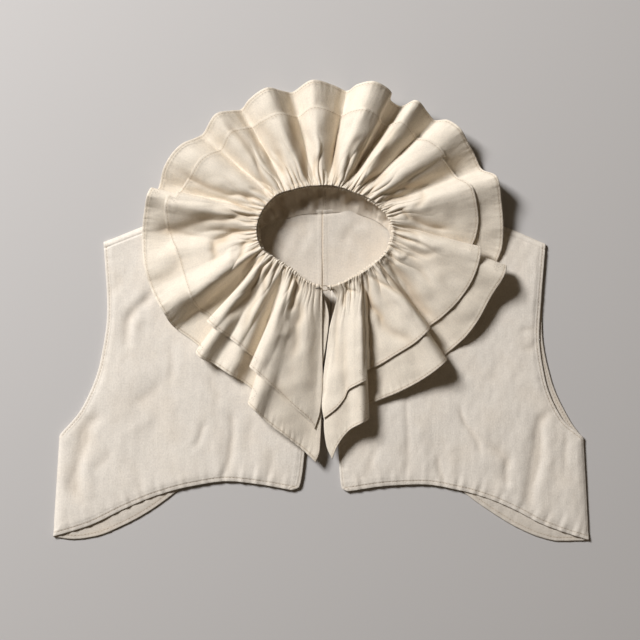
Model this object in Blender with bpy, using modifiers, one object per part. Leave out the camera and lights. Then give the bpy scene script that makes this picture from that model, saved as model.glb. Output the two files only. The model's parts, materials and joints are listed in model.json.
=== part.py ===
"""Ruff collar bodice, laid flat with its front up.

A short sleeveless bodice, open at the centre front, with a gathered ruff of two tiers at the neck. The
back lies on the surface, the fronts lie on the back, and the neck edge stands up in a drawn-up casing
from which both tiers of the ruff fall outwards in deep folds.

Frame: +X towards the wearer's left side, +Y towards the head, +Z up; the origin is the centre of the
bounding box on the surface. Tables are in millimetres and degrees. Left and right are the wearer's.
"""
import math
from collections import namedtuple

import bmesh
import bpy
from mathutils import Vector

MM = 0.001

# ---- driving sizes, mm ----
CLOTH = 1.2              # wall of the bodice panels, hems and turnings included
RUFFLE_CLOTH = 1.0       # wall of one tier of the ruff
GAP = 0.3                # clearance between pieces that are sewn or lie together
FRONT_LIFT = CLOTH + GAP             # underside of the fronts, lying on the back
FRONT_TOP = FRONT_LIFT + CLOTH       # upper side of the fronts
TIER_LIFT = 3.2          # the short tier's height over the long one, clear on the steep fold sides

MIDDLE = Vector((-0.21, -0.22, 0))   # middle of the garment in the tables' places: the origin
NECK_CENTRE = (2.9, 66.1)            # middle of the neck opening in plan
RIM_HEIGHT = 16.0        # height of the middle of the casing
CASING_WIDTH = 5.4       # the casing in plan
CASING_DEPTH = 5.0       # the casing in height
CASING_SIDES = 8
CASING_STATIONS = 64
CASING_ENDS = (-87.0, 267.0)         # angles where the casing stops at the centre front
STAND_ENDS = (-84.0, 264.0)
STAND_COLUMNS = 60
RUFFLE_START = 14.2      # height of the ruff's inner edge, outside the casing
COLUMNS_PER_FOLD = 3
RUFFLE_ROWS = 4
LOOP_LENGTH = 3.2        # half the thread loop's length
LOOP_WIDTH = 2.2         # half the thread loop's width
FRONT_EDGE_BOW = 6.0     # how far the long front edges of the ruff curve sideways

Rim = namedtuple("Rim", "angle radius")
RIM = [                  # inner edge of the casing about the neck centre, once round
    Rim(-90, 42.7), Rim(-61, 41.7), Rim(-33, 46.6), Rim(-9, 55.6), Rim(5, 58.1), Rim(13, 57.6),
    Rim(34, 51.3), Rim(62, 43.6), Rim(93, 42.7), Rim(122, 46.8), Rim(142, 54.0), Rim(172, 58.1),
    Rim(188, 55.5), Rim(208, 44.4), Rim(231, 39.6), Rim(270, 42.7)]

Seam = namedtuple("Seam", "angle x y")
NECK_SEAM = [            # the seam under the stand: the rim's angle, and the place it hangs from
    Seam(-84, 7, 23), Seam(-61, 24, 28), Seam(-33, 44, 40), Seam(-9, 59, 56), Seam(5, 61, 67),
    Seam(20, 55, 76), Seam(40, 42, 83), Seam(62, 24, 88), Seam(93, 1, 87), Seam(115, -15, 86),
    Seam(138, -32, 82), Seam(155, -46, 78), Seam(172, -54, 71), Seam(190, -51, 57),
    Seam(215, -38, 42), Seam(240, -21, 29), Seam(264, -2, 23)]

Point = namedtuple("Point", "x y")
RIGHT_NECK_POINT = Point(-60, 76)    # where shoulder and neck edge meet
LEFT_NECK_POINT = Point(66, 74)

FRONT_RIGHT = dict(
    hem=[Point(-237.3, -199), Point(-205, -189), Point(-173.6, -174), Point(-147, -163),
         Point(-117, -154.6), Point(-82.5, -149.8), Point(-59, -152), Point(-26, -157.7)],
    front=[Point(-26, -157.7), Point(-19.6, -155), Point(-14, -116), Point(-8, -60), Point(-4, 19)],
    side=[Point(-237.3, -199), Point(-231.7, -109.3)],
    armhole=[Point(-231.7, -109.3), Point(-211.6, -85), Point(-195.4, -44), Point(-189.2, 2.2),
             Point(-192.5, 61.7)],
    shoulder=[Point(-192.5, 61.7), Point(-145, 80), Point(-104, 93), Point(-76, 90),
              RIGHT_NECK_POINT],
    neck=[RIGHT_NECK_POINT, Point(-57, 56), Point(-43, 38), Point(-24, 24), Point(-4, 19)])

FRONT_LEFT = dict(
    hem=[Point(236.9, -202), Point(218.9, -196.4), Point(195.1, -187.6), Point(171.7, -175.3),
         Point(148.1, -165.2), Point(124.7, -158.4), Point(88.4, -152.6), Point(61.7, -153.6),
         Point(23.2, -158.8)],
    front=[Point(23.2, -158.8), Point(18, -155.4), Point(15, -116), Point(10, -60), Point(9, 19)],
    side=[Point(236.9, -202), Point(232, -111)],
    armhole=[Point(232, -111), Point(213.6, -95.2), Point(198, -59.5), Point(192.9, -20.4),
             Point(194.8, 13.5), Point(198.6, 60)],
    shoulder=[Point(198.6, 60), Point(152, 79), Point(108, 92), Point(81, 88), LEFT_NECK_POINT],
    neck=[LEFT_NECK_POINT, Point(63, 52), Point(48, 34), Point(28, 23), Point(9, 19)])

BACK_RIGHT = dict(
    hem=[Point(-237, -199.5), Point(-219, -201.5), Point(-200, -199), Point(-177, -190),
         Point(-153, -177), Point(-127, -158), Point(-95, -130), Point(-55, -101), Point(0.2, -88)],
    front=[Point(0.2, -88), Point(0.6, 0), Point(0.9, 90)],
    side=[Point(-237, -199.5), Point(-231.4, -109.6)],
    armhole=[Point(-231.4, -109.6), Point(-211.2, -85.4), Point(-195, -44), Point(-188.8, 2.2),
             Point(-192, 62)],
    shoulder=[Point(-192, 62), Point(-145, 80.5), Point(-104, 93.5), Point(-76, 90.5),
              RIGHT_NECK_POINT],
    neck=[RIGHT_NECK_POINT, Point(-48, 81), Point(-32, 86), Point(-15, 90), Point(0.9, 90)])

BACK_LEFT = dict(
    hem=[Point(236.5, -202.6), Point(210.9, -203.2), Point(195.1, -200), Point(173.1, -190.8),
         Point(156, -180.8), Point(124.6, -158.4), Point(95, -130), Point(56, -101),
         Point(0.6, -88)],
    front=[Point(0.6, -88), Point(1.0, 0), Point(1.3, 90)],
    side=[Point(236.5, -202.6), Point(231.8, -112)],
    armhole=[Point(231.8, -112), Point(219.7, -95.2), Point(203.5, -59.5), Point(195.7, -17.8),
             Point(195.2, 13.5), Point(198.2, 60.4)],
    shoulder=[Point(198.2, 60.4), Point(152, 79.5), Point(108, 92.5), Point(81, 88.5),
              LEFT_NECK_POINT],
    neck=[LEFT_NECK_POINT, Point(54, 80), Point(42, 87), Point(24, 92), Point(1.3, 90)])

HEM_COLUMNS = 9          # grid columns from the side to the neck point
NECK_COLUMNS = 5         # and on to the centre
SIDE_ROWS = 3            # grid rows up the side seam
ARMHOLE_ROWS = 8         # and on to the shoulder tip

Ripple = namedtuple("Ripple", "x y length width turn height")
FRONT_RIPPLES = [        # the largest soft ridges of the fronts: middle, size, turn from +Y, height
    Ripple(-160, -5, 70, 14, -32, 1.6), Ripple(-172, -95, 60, 15, -8, 1.2),
    Ripple(-95, -120, 60, 14, 10, 1.3), Ripple(-215, -140, 70, 15, 6, 1.4),
    Ripple(150, -125, 80, 15, 35, 1.5), Ripple(185, -130, 60, 14, 10, 1.4),
    Ripple(160, -30, 80, 16, 20, 1.3), Ripple(95, -125, 50, 14, -12, 1.2)]

Fold = namedtuple("Fold", "foot angle long_reach short_reach height")
FOLDS = [                # the ruff from the wearer's right front edge round the neck to the left one:
    #  angle at the neck, angle at the hem, reach of the long and of the short tier, height
    Fold(267.5, 267.0, 197.6, 169.5, 9), Fold(246, 255.0, 176.0, 146.1, 11),
    Fold(225, 244.9, 160.7, 131.4, 18), Fold(221, 240.5, 147.8, 124.1, 8),
    Fold(212, 235.0, 146.1, 121.4, 12), Fold(205, 228.0, 145.2, 122.3, 8),
    Fold(199, 222.4, 151.9, 126.9, 18), Fold(195, 217.5, 146.0, 121.0, 6),
    Fold(190, 208.2, 153.4, 127.7, 16), Fold(184, 196.4, 159.5, 129.3, 11),
    Fold(178, 180.0, 161.0, 137.3, 6), Fold(161, 164.6, 158.4, 142.0, 18),
    Fold(158, 161.0, 154.9, 136.4, 6), Fold(147, 145.0, 148.2, 127.2, 14),
    Fold(143, 140.5, 141.7, 121.4, 4), Fold(137, 130.7, 142.9, 123.2, 16),
    Fold(128, 124.0, 135.2, 117.0, 3), Fold(110, 111.5, 139.0, 115.3, 20),
    Fold(101, 104.0, 131.7, 110.0, 3), Fold(93, 93.8, 136.9, 114.4, 18),
    Fold(85, 81.5, 131.0, 109.1, 3), Fold(78, 72.5, 140.8, 116.2, 25),
    Fold(66, 59.7, 133.6, 113.5, 3), Fold(57, 55.5, 143.4, 121.4, 20),
    Fold(49, 47.3, 141.7, 119.7, 6), Fold(41, 38.5, 151.4, 127.4, 18),
    Fold(28, 24.5, 150.9, 128.3, 5), Fold(19, 18.5, 159.3, 135.7, 20),
    Fold(15, 8.0, 157.5, 136.4, 14), Fold(11, -5.0, 156.6, 130.9, 9),
    Fold(8, -9.5, 161.4, 136.6, 19), Fold(-4, -20.0, 155.3, 133.6, 14),
    Fold(-15, -33.0, 153.0, 128.5, 13), Fold(-22, -42.3, 150.5, 123.2, 7),
    Fold(-26, -45.4, 152.2, 122.1, 19), Fold(-33, -55.5, 152.2, 122.2, 13),
    Fold(-38, -63.9, 151.7, 121.4, 12), Fold(-43, -73.6, 153.0, 123.8, 7),
    Fold(-46, -77.2, 164.1, 130.2, 18), Fold(-60, -82.9, 171.3, 137.2, 14),
    Fold(-82, -88.2, 195.8, 159.8, 10)]

Cloth = namedtuple("Cloth", "name colour roughness")
MUSLIN = Cloth("muslin", (0.76, 0.69, 0.60, 1.0), 0.9)
THREAD = Cloth("thread", (0.78, 0.72, 0.62, 1.0), 0.8)
METAL = Cloth("hook_metal", (0.35, 0.33, 0.30, 1.0), 0.4)


def material(cloth, metallic=0.0):
    made = bpy.data.materials.get(cloth.name)
    if made is None:
        made = bpy.data.materials.new(cloth.name)
        made.use_nodes = True
        shader = made.node_tree.nodes["Principled BSDF"]
        shader.inputs["Base Color"].default_value = cloth.colour
        shader.inputs["Roughness"].default_value = cloth.roughness
        shader.inputs["Metallic"].default_value = metallic
    return made


def smoothstep(t):
    t = min(max(t, 0.0), 1.0)
    return t * t * (3.0 - 2.0 * t)


def monotone(xs, ys):
    """A smooth curve through the rows that makes no new highs or lows between them."""
    steps = [(y1 - y0) / (x1 - x0) for x0, x1, y0, y1 in zip(xs, xs[1:], ys, ys[1:])]
    slopes = [steps[0]]
    for before, after in zip(steps, steps[1:]):
        slopes.append(0.0 if before * after <= 0.0 else 2.0 * before * after / (before + after))
    slopes.append(steps[-1])

    def value(x):
        k = max(i for i in range(len(xs) - 1) if i == 0 or xs[i] <= x)
        h = xs[k + 1] - xs[k]
        t = (x - xs[k]) / h
        rise = ys[k + 1] - ys[k]
        return (ys[k] + h * slopes[k] * t * (1 - t) ** 2 + rise * t * t * (3 - 2 * t)
                - h * slopes[k + 1] * t * t * (1 - t))
    return value


def outline(points):
    """A smooth line through a panel's points, read by the share of its length from 0 to 1."""
    reach = [0.0]
    for before, after in zip(points, points[1:]):
        reach.append(reach[-1] + math.dist(before, after))
    shares = [r / reach[-1] for r in reach]
    along_x = monotone(shares, [p.x for p in points])
    along_y = monotone(shares, [p.y for p in points])
    return lambda t: Vector((along_x(t), along_y(t)))


def joined(first, second, share):
    """Two outlines end to end, the first taking the given share of the range 0 to 1."""
    return lambda t: first(t / share) if t <= share else second((t - share) / (1.0 - share))


def new_object(name, mesh, cloth, thickness=None, metallic=0.0):
    for polygon in mesh.polygons:
        polygon.use_smooth = True
    mesh.materials.append(material(cloth, metallic))
    piece = bpy.data.objects.new(name, mesh)
    garment.objects.link(piece)
    if thickness:
        wall = piece.modifiers.new("wall", "SOLIDIFY")
        wall.thickness = thickness * MM
        wall.offset = 1.0
    return piece


def warped_grid(columns, rows, place):
    """A grid of unit size whose points are put where place(u, v) says, in millimetres."""
    shape = bmesh.new()
    bmesh.ops.create_grid(shape, x_segments=columns, y_segments=rows, size=0.5)
    for vert in shape.verts:
        vert.co = (place(vert.co.x + 0.5, vert.co.y + 0.5) - MIDDLE) * MM
    shape.normal_update()
    return shape


def finish_mesh(shape, name, upwards=True):
    mesh = bpy.data.meshes.new(name)
    lean = sum(face.normal.z * face.calc_area() for face in shape.faces)
    if upwards and lean < 0.0:
        bmesh.ops.reverse_faces(shape, faces=shape.faces)
    shape.to_mesh(mesh)
    shape.free()
    return mesh


def ripple_height(x, y):
    """The soft ridges of the fronts, which die away to nothing at their ends and sides."""
    height = 0.0
    for ripple in FRONT_RIPPLES:
        turn = math.radians(ripple.turn)
        dx, dy = x - ripple.x, y - ripple.y
        along = (dy * math.cos(turn) - dx * math.sin(turn)) / (ripple.length / 2)
        across = (dx * math.cos(turn) + dy * math.sin(turn)) / ripple.width
        height += ripple.height * math.exp(-along * along - across * across)
    return height


def panel(name, edges, lift, ripples):
    """A flat-laid panel: a patch stretched between its hem, side, shoulder, neck and centre edges."""
    across = HEM_COLUMNS / (HEM_COLUMNS + NECK_COLUMNS)
    up = SIDE_ROWS / (SIDE_ROWS + ARMHOLE_ROWS)
    bottom = outline(edges["hem"])
    top = joined(outline(edges["shoulder"]), outline(edges["neck"]), across)
    outer = joined(outline(edges["side"]), outline(edges["armhole"]), up)
    inner = outline(edges["front"])

    def place(u, v):
        corners = ((1 - u) * (1 - v) * bottom(0.0) + u * (1 - v) * bottom(1.0)
                   + (1 - u) * v * top(0.0) + u * v * top(1.0))
        spot = ((1 - v) * bottom(u) + v * top(u) + (1 - u) * outer(v) + u * inner(v) - corners)
        rise = ripple_height(spot.x, spot.y) if ripples else 0.0
        return Vector((spot.x, spot.y, lift + rise))

    shape = warped_grid(HEM_COLUMNS + NECK_COLUMNS, SIDE_ROWS + ARMHOLE_ROWS, place)
    return new_object(name, finish_mesh(shape, name), MUSLIN, CLOTH)


rim_radius = monotone([r.angle for r in RIM], [r.radius for r in RIM])
seam_x = monotone([s.angle for s in NECK_SEAM], [s.x for s in NECK_SEAM])
seam_y = monotone([s.angle for s in NECK_SEAM], [s.y for s in NECK_SEAM])


def about_neck(angle, radius, z):
    turn = math.radians(angle)
    return Vector((NECK_CENTRE[0] + radius * math.cos(turn),
                   NECK_CENTRE[1] + radius * math.sin(turn), z))


def neck_stand():
    """The gathered band from the neck seam up to the casing."""
    top_height = RIM_HEIGHT - CASING_DEPTH / 2 - GAP - CLOTH / 2
    start, end = STAND_ENDS

    def place(u, v):
        angle = start + (end - start) * u
        foot = Vector((seam_x(angle), seam_y(angle), FRONT_TOP + GAP + CLOTH / 2))
        top = about_neck(angle, rim_radius(angle) + CASING_WIDTH / 2, top_height)
        return foot.lerp(top, v)

    shape = warped_grid(STAND_COLUMNS, 2, place)
    stand = new_object("neck_stand", finish_mesh(shape, "neck_stand", upwards=False), MUSLIN, CLOTH)
    stand.modifiers["wall"].offset = 0.0


def neck_casing():
    """The drawn-up casing: an oval section carried round the rim, open at the centre front."""
    start, end = CASING_ENDS
    shape = bmesh.new()
    bmesh.ops.create_cone(shape, cap_ends=True, segments=CASING_SIDES, radius1=0.5, radius2=0.5,
                          depth=1.0)
    long_edges = [e for e in shape.edges if abs(e.verts[0].co.z - e.verts[1].co.z) > 0.5]
    bmesh.ops.subdivide_edges(shape, edges=long_edges, cuts=CASING_STATIONS - 1)
    for vert in shape.verts:
        angle = start + (end - start) * (vert.co.z + 0.5)
        radius = rim_radius(angle) + CASING_WIDTH * (0.5 - vert.co.x)
        vert.co = (about_neck(angle, radius, RIM_HEIGHT + CASING_DEPTH * vert.co.y) - MIDDLE) * MM
    bmesh.ops.recalc_face_normals(shape, faces=shape.faces)
    new_object("neck_casing", finish_mesh(shape, "neck_casing", upwards=False), MUSLIN)


fold_index = list(range(len(FOLDS)))
foot_angle = monotone(fold_index, [f.foot for f in FOLDS])
hem_angle = monotone(fold_index, [f.angle for f in FOLDS])
long_reach = monotone(fold_index, [f.long_reach for f in FOLDS])
short_reach = monotone(fold_index, [f.short_reach for f in FOLDS])
fold_height = monotone(fold_index, [f.height for f in FOLDS])


def ruffle_point(row, depth):
    """A point of the long tier: row runs over the folds, depth from the neck (0) to the hem (1)."""
    foot = about_neck(foot_angle(row), rim_radius(foot_angle(row)) + CASING_WIDTH + GAP, 0.0)
    hem = about_neck(hem_angle(row), long_reach(row), 0.0)
    point = foot.lerp(hem, depth)
    last = len(FOLDS) - 1
    front_edge = smoothstep(1.0 - row) - smoothstep(1.0 - (last - row))
    point.x += FRONT_EDGE_BOW * front_edge * 4.0 * depth * (1.0 - depth)
    point.z = RUFFLE_START + (fold_height(row) - RUFFLE_START) * smoothstep(depth)
    return point


def ruffle(name, short):
    """One tier of the ruff; the short tier is the long one's surface, cut shorter and lifted."""
    last = len(FOLDS) - 1

    def place(u, v):
        row = u * last
        if not short:
            return ruffle_point(row, v)
        foot = about_neck(foot_angle(row), rim_radius(foot_angle(row)), 0.0)
        whole = (about_neck(hem_angle(row), long_reach(row), 0.0) - foot).length
        share = (short_reach(row) - (foot - about_neck(0, 0, 0)).length) / whole
        return ruffle_point(row, v * share) + Vector((0.0, 0.0, TIER_LIFT))

    shape = warped_grid(last * COLUMNS_PER_FOLD, RUFFLE_ROWS, place)
    new_object(name, finish_mesh(shape, name), MUSLIN, RUFFLE_CLOTH)


def wire(name, points, radius, cloth, metallic=0.0):
    """A round wire or thread through the given points, with closed ends."""
    curve = bpy.data.curves.new(name, "CURVE")
    curve.dimensions = "3D"
    curve.bevel_depth = radius * MM
    curve.bevel_resolution = 1
    curve.use_fill_caps = True
    spline = curve.splines.new("POLY")
    spline.points.add(len(points) - 1)
    for target, point in zip(spline.points, points):
        target.co = (*((point - MIDDLE) * MM), 1.0)
    curve.materials.append(material(cloth, metallic))
    garment.objects.link(bpy.data.objects.new(name, curve))


def neck_fastening():
    """The thread loop on one end of the casing and the small hook on the other."""
    middle = Vector((3.2, NECK_CENTRE[1] - rim_radius(-90) - CASING_WIDTH / 2, RIM_HEIGHT + 3.4))
    steps = 9
    loop = []
    for k in range(steps):
        turn = math.radians(40 + 280 * k / (steps - 1))
        loop.append(middle + Vector((LOOP_LENGTH * math.cos(turn), LOOP_WIDTH * math.sin(turn), 0)))
    wire("neck_loop", loop, 0.4, THREAD)
    hook = [middle + Vector(step) for step in ((-8.6, 0, 0), (-6.9, 0, 0.1), (-5.3, 0.3, 0.5),
                                               (-4.0, 0.6, 1.2))]
    wire("neck_hook", hook, 0.3, METAL, metallic=0.9)


for old in list(bpy.data.objects):
    bpy.data.objects.remove(old, do_unlink=True)
garment = bpy.data.collections.new("ruff_collar_bodice")
bpy.context.scene.collection.children.link(garment)

panel("back_right", BACK_RIGHT, 0.0, ripples=False)
panel("back_left", BACK_LEFT, 0.0, ripples=False)
panel("front_right", FRONT_RIGHT, FRONT_LIFT, ripples=True)
panel("front_left", FRONT_LEFT, FRONT_LIFT, ripples=True)
neck_stand()
neck_casing()
ruffle("ruffle_lower", short=False)
ruffle("ruffle_upper", short=True)
neck_fastening()
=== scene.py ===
"""Ruff collar bodice: cloth, stitching and stage of a sleeveless bodice with a gathered ruff.

Sizes in the tables are millimetres and degrees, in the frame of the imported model. Left and
right are the wearer's.
"""

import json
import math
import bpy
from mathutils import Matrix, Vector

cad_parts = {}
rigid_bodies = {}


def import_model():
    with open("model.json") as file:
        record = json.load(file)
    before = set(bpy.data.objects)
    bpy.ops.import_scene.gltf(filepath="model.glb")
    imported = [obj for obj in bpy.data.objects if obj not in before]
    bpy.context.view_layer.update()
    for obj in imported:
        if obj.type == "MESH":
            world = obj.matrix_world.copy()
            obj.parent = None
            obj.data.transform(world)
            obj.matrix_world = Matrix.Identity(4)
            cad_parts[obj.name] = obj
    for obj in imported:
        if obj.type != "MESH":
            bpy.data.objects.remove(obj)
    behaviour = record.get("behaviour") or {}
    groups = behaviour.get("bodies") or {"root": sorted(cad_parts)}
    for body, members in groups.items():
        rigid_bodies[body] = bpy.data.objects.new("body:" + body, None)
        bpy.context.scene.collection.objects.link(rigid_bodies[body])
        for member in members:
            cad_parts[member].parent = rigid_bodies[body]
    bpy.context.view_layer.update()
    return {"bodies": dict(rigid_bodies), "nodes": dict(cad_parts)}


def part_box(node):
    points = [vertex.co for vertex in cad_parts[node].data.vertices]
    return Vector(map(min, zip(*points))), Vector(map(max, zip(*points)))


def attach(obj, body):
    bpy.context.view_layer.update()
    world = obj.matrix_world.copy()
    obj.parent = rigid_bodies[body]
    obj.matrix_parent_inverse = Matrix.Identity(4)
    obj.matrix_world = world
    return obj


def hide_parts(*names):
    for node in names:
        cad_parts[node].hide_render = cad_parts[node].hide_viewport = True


bl_info = {
    "name": "Ruff Collar Bodice",
    "version": (1, 0, 0),
    "blender": (4, 5, 0),
    "location": "View3D > Sidebar > Ruff Bodice",
    "description": "Makes a flat-laid muslin bodice with a two-tier gathered ruff",
    "category": "Object",
}

from collections import namedtuple

import bmesh
import bpy
import numpy as np
from bpy.props import FloatProperty, FloatVectorProperty, IntProperty, PointerProperty
from mathutils import Matrix, Vector

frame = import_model()

MM = 0.001
BODY = list(frame["bodies"])[0]
CASING_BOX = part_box("neck_casing")
FRONT_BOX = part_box("front_right")

# ---- places, mm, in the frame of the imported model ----
SHIFT = (0.21, 0.22)                 # from the tables' places to the model's origin
NECK_CENTRE = (2.9, 66.1)            # middle of the neck opening in plan
RIM_HEIGHT = (CASING_BOX[0][2] + CASING_BOX[1][2]) / 2 / MM
CASING_DEPTH = (CASING_BOX[1][2] - CASING_BOX[0][2]) / MM
CASING_WIDTH = 5.4
FRONT_LIFT = FRONT_BOX[0][2] / MM    # underside of the fronts, where they lie on the back
CASING_ENDS = (-87.0, 267.0)
STAND_ENDS = (-85.0, 265.0)

Rim = namedtuple("Rim", "angle radius")
RIM = [                  # inner edge of the casing about the neck centre, once round
    Rim(-90, 42.7), Rim(-61, 41.7), Rim(-33, 46.6), Rim(-9, 55.6), Rim(5, 58.1), Rim(13, 57.6),
    Rim(34, 51.3), Rim(62, 43.6), Rim(93, 42.7), Rim(122, 46.8), Rim(142, 54.0), Rim(172, 58.1),
    Rim(188, 55.5), Rim(208, 44.4), Rim(231, 39.6), Rim(270, 42.7)]

Seam = namedtuple("Seam", "angle x y")
NECK_SEAM = [            # the seam under the stand: the rim's angle, and the place it hangs from
    Seam(-84, 7, 23), Seam(-61, 24, 28), Seam(-33, 44, 40), Seam(-9, 59, 56), Seam(5, 61, 67),
    Seam(20, 55, 76), Seam(40, 42, 83), Seam(62, 24, 88), Seam(93, 1, 87), Seam(115, -15, 86),
    Seam(138, -32, 82), Seam(155, -46, 78), Seam(172, -54, 71), Seam(190, -51, 57),
    Seam(215, -38, 42), Seam(240, -21, 29), Seam(264, -2, 23)]

Fold = namedtuple("Fold", "foot angle reach height")
LONG_FOLDS = [           # long tier: angle at the neck, then angle, reach and height at the hem
    # wearer's right front point, its outer fold edge and the pleat tucked under it
    Fold(267.5, 267.8, 199.0, 8), Fold(263, 264.8, 190.3, 8), Fold(254, 258.8, 178.8, 12),
    Fold(243, 252.5, 170.5, 14), Fold(232, 247.4, 163.5, 19), Fold(227, 245.5, 161.5, 15),
    Fold(223, 246.8, 152.0, 6), Fold(218, 241.0, 147.0, 5),
    Fold(212, 236.0, 147.0, 13), Fold(206, 229.0, 148.5, 10), Fold(201, 223.8, 152.3, 17),
    Fold(198.5, 222.0, 152.0, 13), Fold(196.5, 223.2, 147.0, 5), Fold(194.3, 217.6, 148.8, 3.5),
    # right shoulder
    Fold(192.3, 212.4, 153.6, 4), Fold(190.6, 209.4, 155.6, 10), Fold(188.5, 206.0, 156.0, 16),
    Fold(184.5, 196.6, 159.5, 11), Fold(181, 188.2, 161.0, 9), Fold(177.5, 180.0, 161.0, 4.5),
    Fold(170, 171.5, 160.0, 12), Fold(163.5, 166.2, 159.0, 18), Fold(161.5, 164.4, 158.0, 14),
    Fold(160, 166.0, 154.0, 6), Fold(158.5, 162.0, 153.0, 4),
    Fold(154, 157.0, 154.0, 10), Fold(148, 147.0, 149.0, 15), Fold(145, 143.2, 144.0, 9),
    Fold(143, 140.5, 141.7, 3), Fold(137, 131.0, 143.0, 17), Fold(131, 126.5, 138.0, 9),
    Fold(128, 123.5, 135.2, 2),
    # behind the neck
    Fold(121, 118.5, 137.5, 13), Fold(110, 111.5, 139.0, 21), Fold(104, 106.5, 134.0, 9),
    Fold(101, 103.5, 131.7, 2), Fold(93, 94.0, 137.0, 18), Fold(88, 86.5, 133.5, 9),
    Fold(85, 81.5, 131.0, 2), Fold(82, 77.5, 136.5, 16), Fold(78, 72.0, 141.0, 26),
    Fold(71, 65.3, 139.0, 17), Fold(69, 64.2, 134.0, 6), Fold(66, 60.5, 133.6, 2),
    Fold(57.5, 55.5, 143.4, 20), Fold(52, 50.0, 142.0, 10), Fold(49, 47.0, 141.7, 5),
    Fold(45, 43.0, 149.0, 15), Fold(41, 38.5, 151.4, 19), Fold(36, 33.0, 150.5, 13),
    Fold(31, 28.0, 151.0, 6), Fold(28, 24.0, 151.0, 4),
    # left shoulder
    Fold(19.5, 18.8, 159.3, 20), Fold(16, 11.0, 158.0, 15), Fold(13.5, 4.0, 157.5, 11),
    Fold(12, -3.5, 156.8, 7), Fold(10.3, -11.3, 153.0, 5), Fold(9.2, -9.2, 161.4, 14),
    Fold(7.5, -11.6, 161.0, 21), Fold(-4, -20.0, 155.3, 15), Fold(-13, -30.0, 153.5, 13),
    Fold(-17.5, -35.0, 152.5, 10), Fold(-21, -40.5, 150.5, 5), Fold(-23, -45.2, 149.5, 4.5),
    Fold(-24.5, -45.2, 152.2, 11),
    Fold(-26.5, -47.0, 152.5, 20), Fold(-33, -55.5, 152.2, 14), Fold(-38, -64.0, 151.7, 10),
    Fold(-42, -72.0, 152.0, 7), Fold(-44, -78.6, 155.0, 5.5),
    # wearer's left front point
    Fold(-45.2, -76.4, 164.1, 13), Fold(-47.5, -78.4, 166.5, 19), Fold(-60, -82.6, 171.3, 15),
    Fold(-72, -86.3, 183.7, 12), Fold(-82, -88.0, 195.8, 9)]
SHORT_FOLDS = [          # short tier, lying on the long one
    Fold(267.5, 267.1, 169.5, 8.4), Fold(261, 264.5, 161.0, 11), Fold(253, 261.0, 154.3, 14),
    Fold(240, 250.5, 139.3, 16), Fold(230, 243.0, 133.0, 22), Fold(226.5, 240.2, 131.5, 17),
    Fold(222.5, 241.5, 125.0, 9), Fold(218, 236.0, 122.5, 8),
    Fold(212, 231.5, 121.4, 17), Fold(206.5, 226.0, 122.3, 13), Fold(201.5, 218.3, 126.0, 20),
    Fold(199, 215.9, 127.0, 16), Fold(197, 217.0, 122.0, 6), Fold(194.5, 213.4, 124.5, 5.5),
    Fold(192.2, 210.2, 128.2, 6), Fold(190.6, 207.6, 129.2, 14), Fold(188.5, 204.6, 129.0, 21),
    Fold(184.5, 194.0, 129.5, 13.5), Fold(181, 186.0, 131.5, 11), Fold(178, 180.5, 136.5, 7),
    Fold(170, 172.5, 141.0, 14), Fold(163.8, 167.4, 142.3, 21), Fold(161.6, 165.5, 141.5, 17),
    Fold(160, 167.2, 137.0, 9), Fold(158.5, 163.0, 134.0, 7),
    Fold(154, 157.5, 130.5, 12.5), Fold(148, 147.0, 127.5, 17), Fold(145, 143.2, 124.0, 12),
    Fold(143, 140.5, 121.4, 6), Fold(137, 131.0, 123.2, 19), Fold(131, 126.5, 119.0, 12),
    Fold(128, 123.5, 117.0, 5),
    Fold(121, 118.5, 116.0, 15), Fold(110, 111.5, 115.3, 23), Fold(104, 106.5, 112.0, 12),
    Fold(101, 103.5, 110.0, 5), Fold(93, 94.0, 114.4, 20), Fold(88, 86.5, 111.0, 12),
    Fold(85, 81.5, 109.1, 5), Fold(82, 77.5, 113.0, 18), Fold(78, 72.5, 116.2, 28),
    Fold(71, 66.0, 116.0, 19), Fold(69, 64.8, 113.5, 10), Fold(66, 60.5, 113.5, 5),
    Fold(57.5, 55.5, 121.4, 22), Fold(52, 50.0, 120.5, 13), Fold(49, 47.0, 119.7, 8),
    Fold(45, 42.0, 125.0, 18), Fold(41, 37.2, 127.3, 21), Fold(37, 33.6, 127.4, 16),
    Fold(33, 34.4, 124.5, 9), Fold(31, 29.5, 126.0, 7), Fold(28, 24.5, 128.3, 7),
    Fold(19.5, 18.5, 135.7, 22), Fold(16, 11.0, 136.0, 17), Fold(13.5, 5.0, 135.5, 13.5),
    Fold(12, 0.0, 133.0, 11), Fold(10.3, -5.8, 129.0, 8), Fold(9.2, -3.9, 136.6, 16),
    Fold(7.5, -6.2, 137.0, 23), Fold(-4, -17.7, 134.3, 17), Fold(-12, -25.0, 130.6, 15.5),
    Fold(-17, -31.0, 127.0, 13), Fold(-20.5, -35.5, 124.5, 7), Fold(-23, -40.6, 121.8, 6),
    Fold(-24.5, -41.0, 122.2, 13),
    Fold(-26.5, -42.7, 122.5, 22), Fold(-33, -50.0, 122.2, 16), Fold(-38, -59.3, 121.4, 13),
    Fold(-42, -68.0, 123.0, 10), Fold(-44, -76.2, 124.0, 8),
    Fold(-45.2, -73.7, 130.8, 16), Fold(-47.5, -75.4, 131.8, 22), Fold(-52, -78.5, 133.7, 19),
    Fold(-58, -81.3, 136.5, 16), Fold(-62, -82.7, 142.0, 15), Fold(-70, -85.5, 150.0, 13),
    Fold(-82, -90.2, 159.8, 9.6)]

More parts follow.
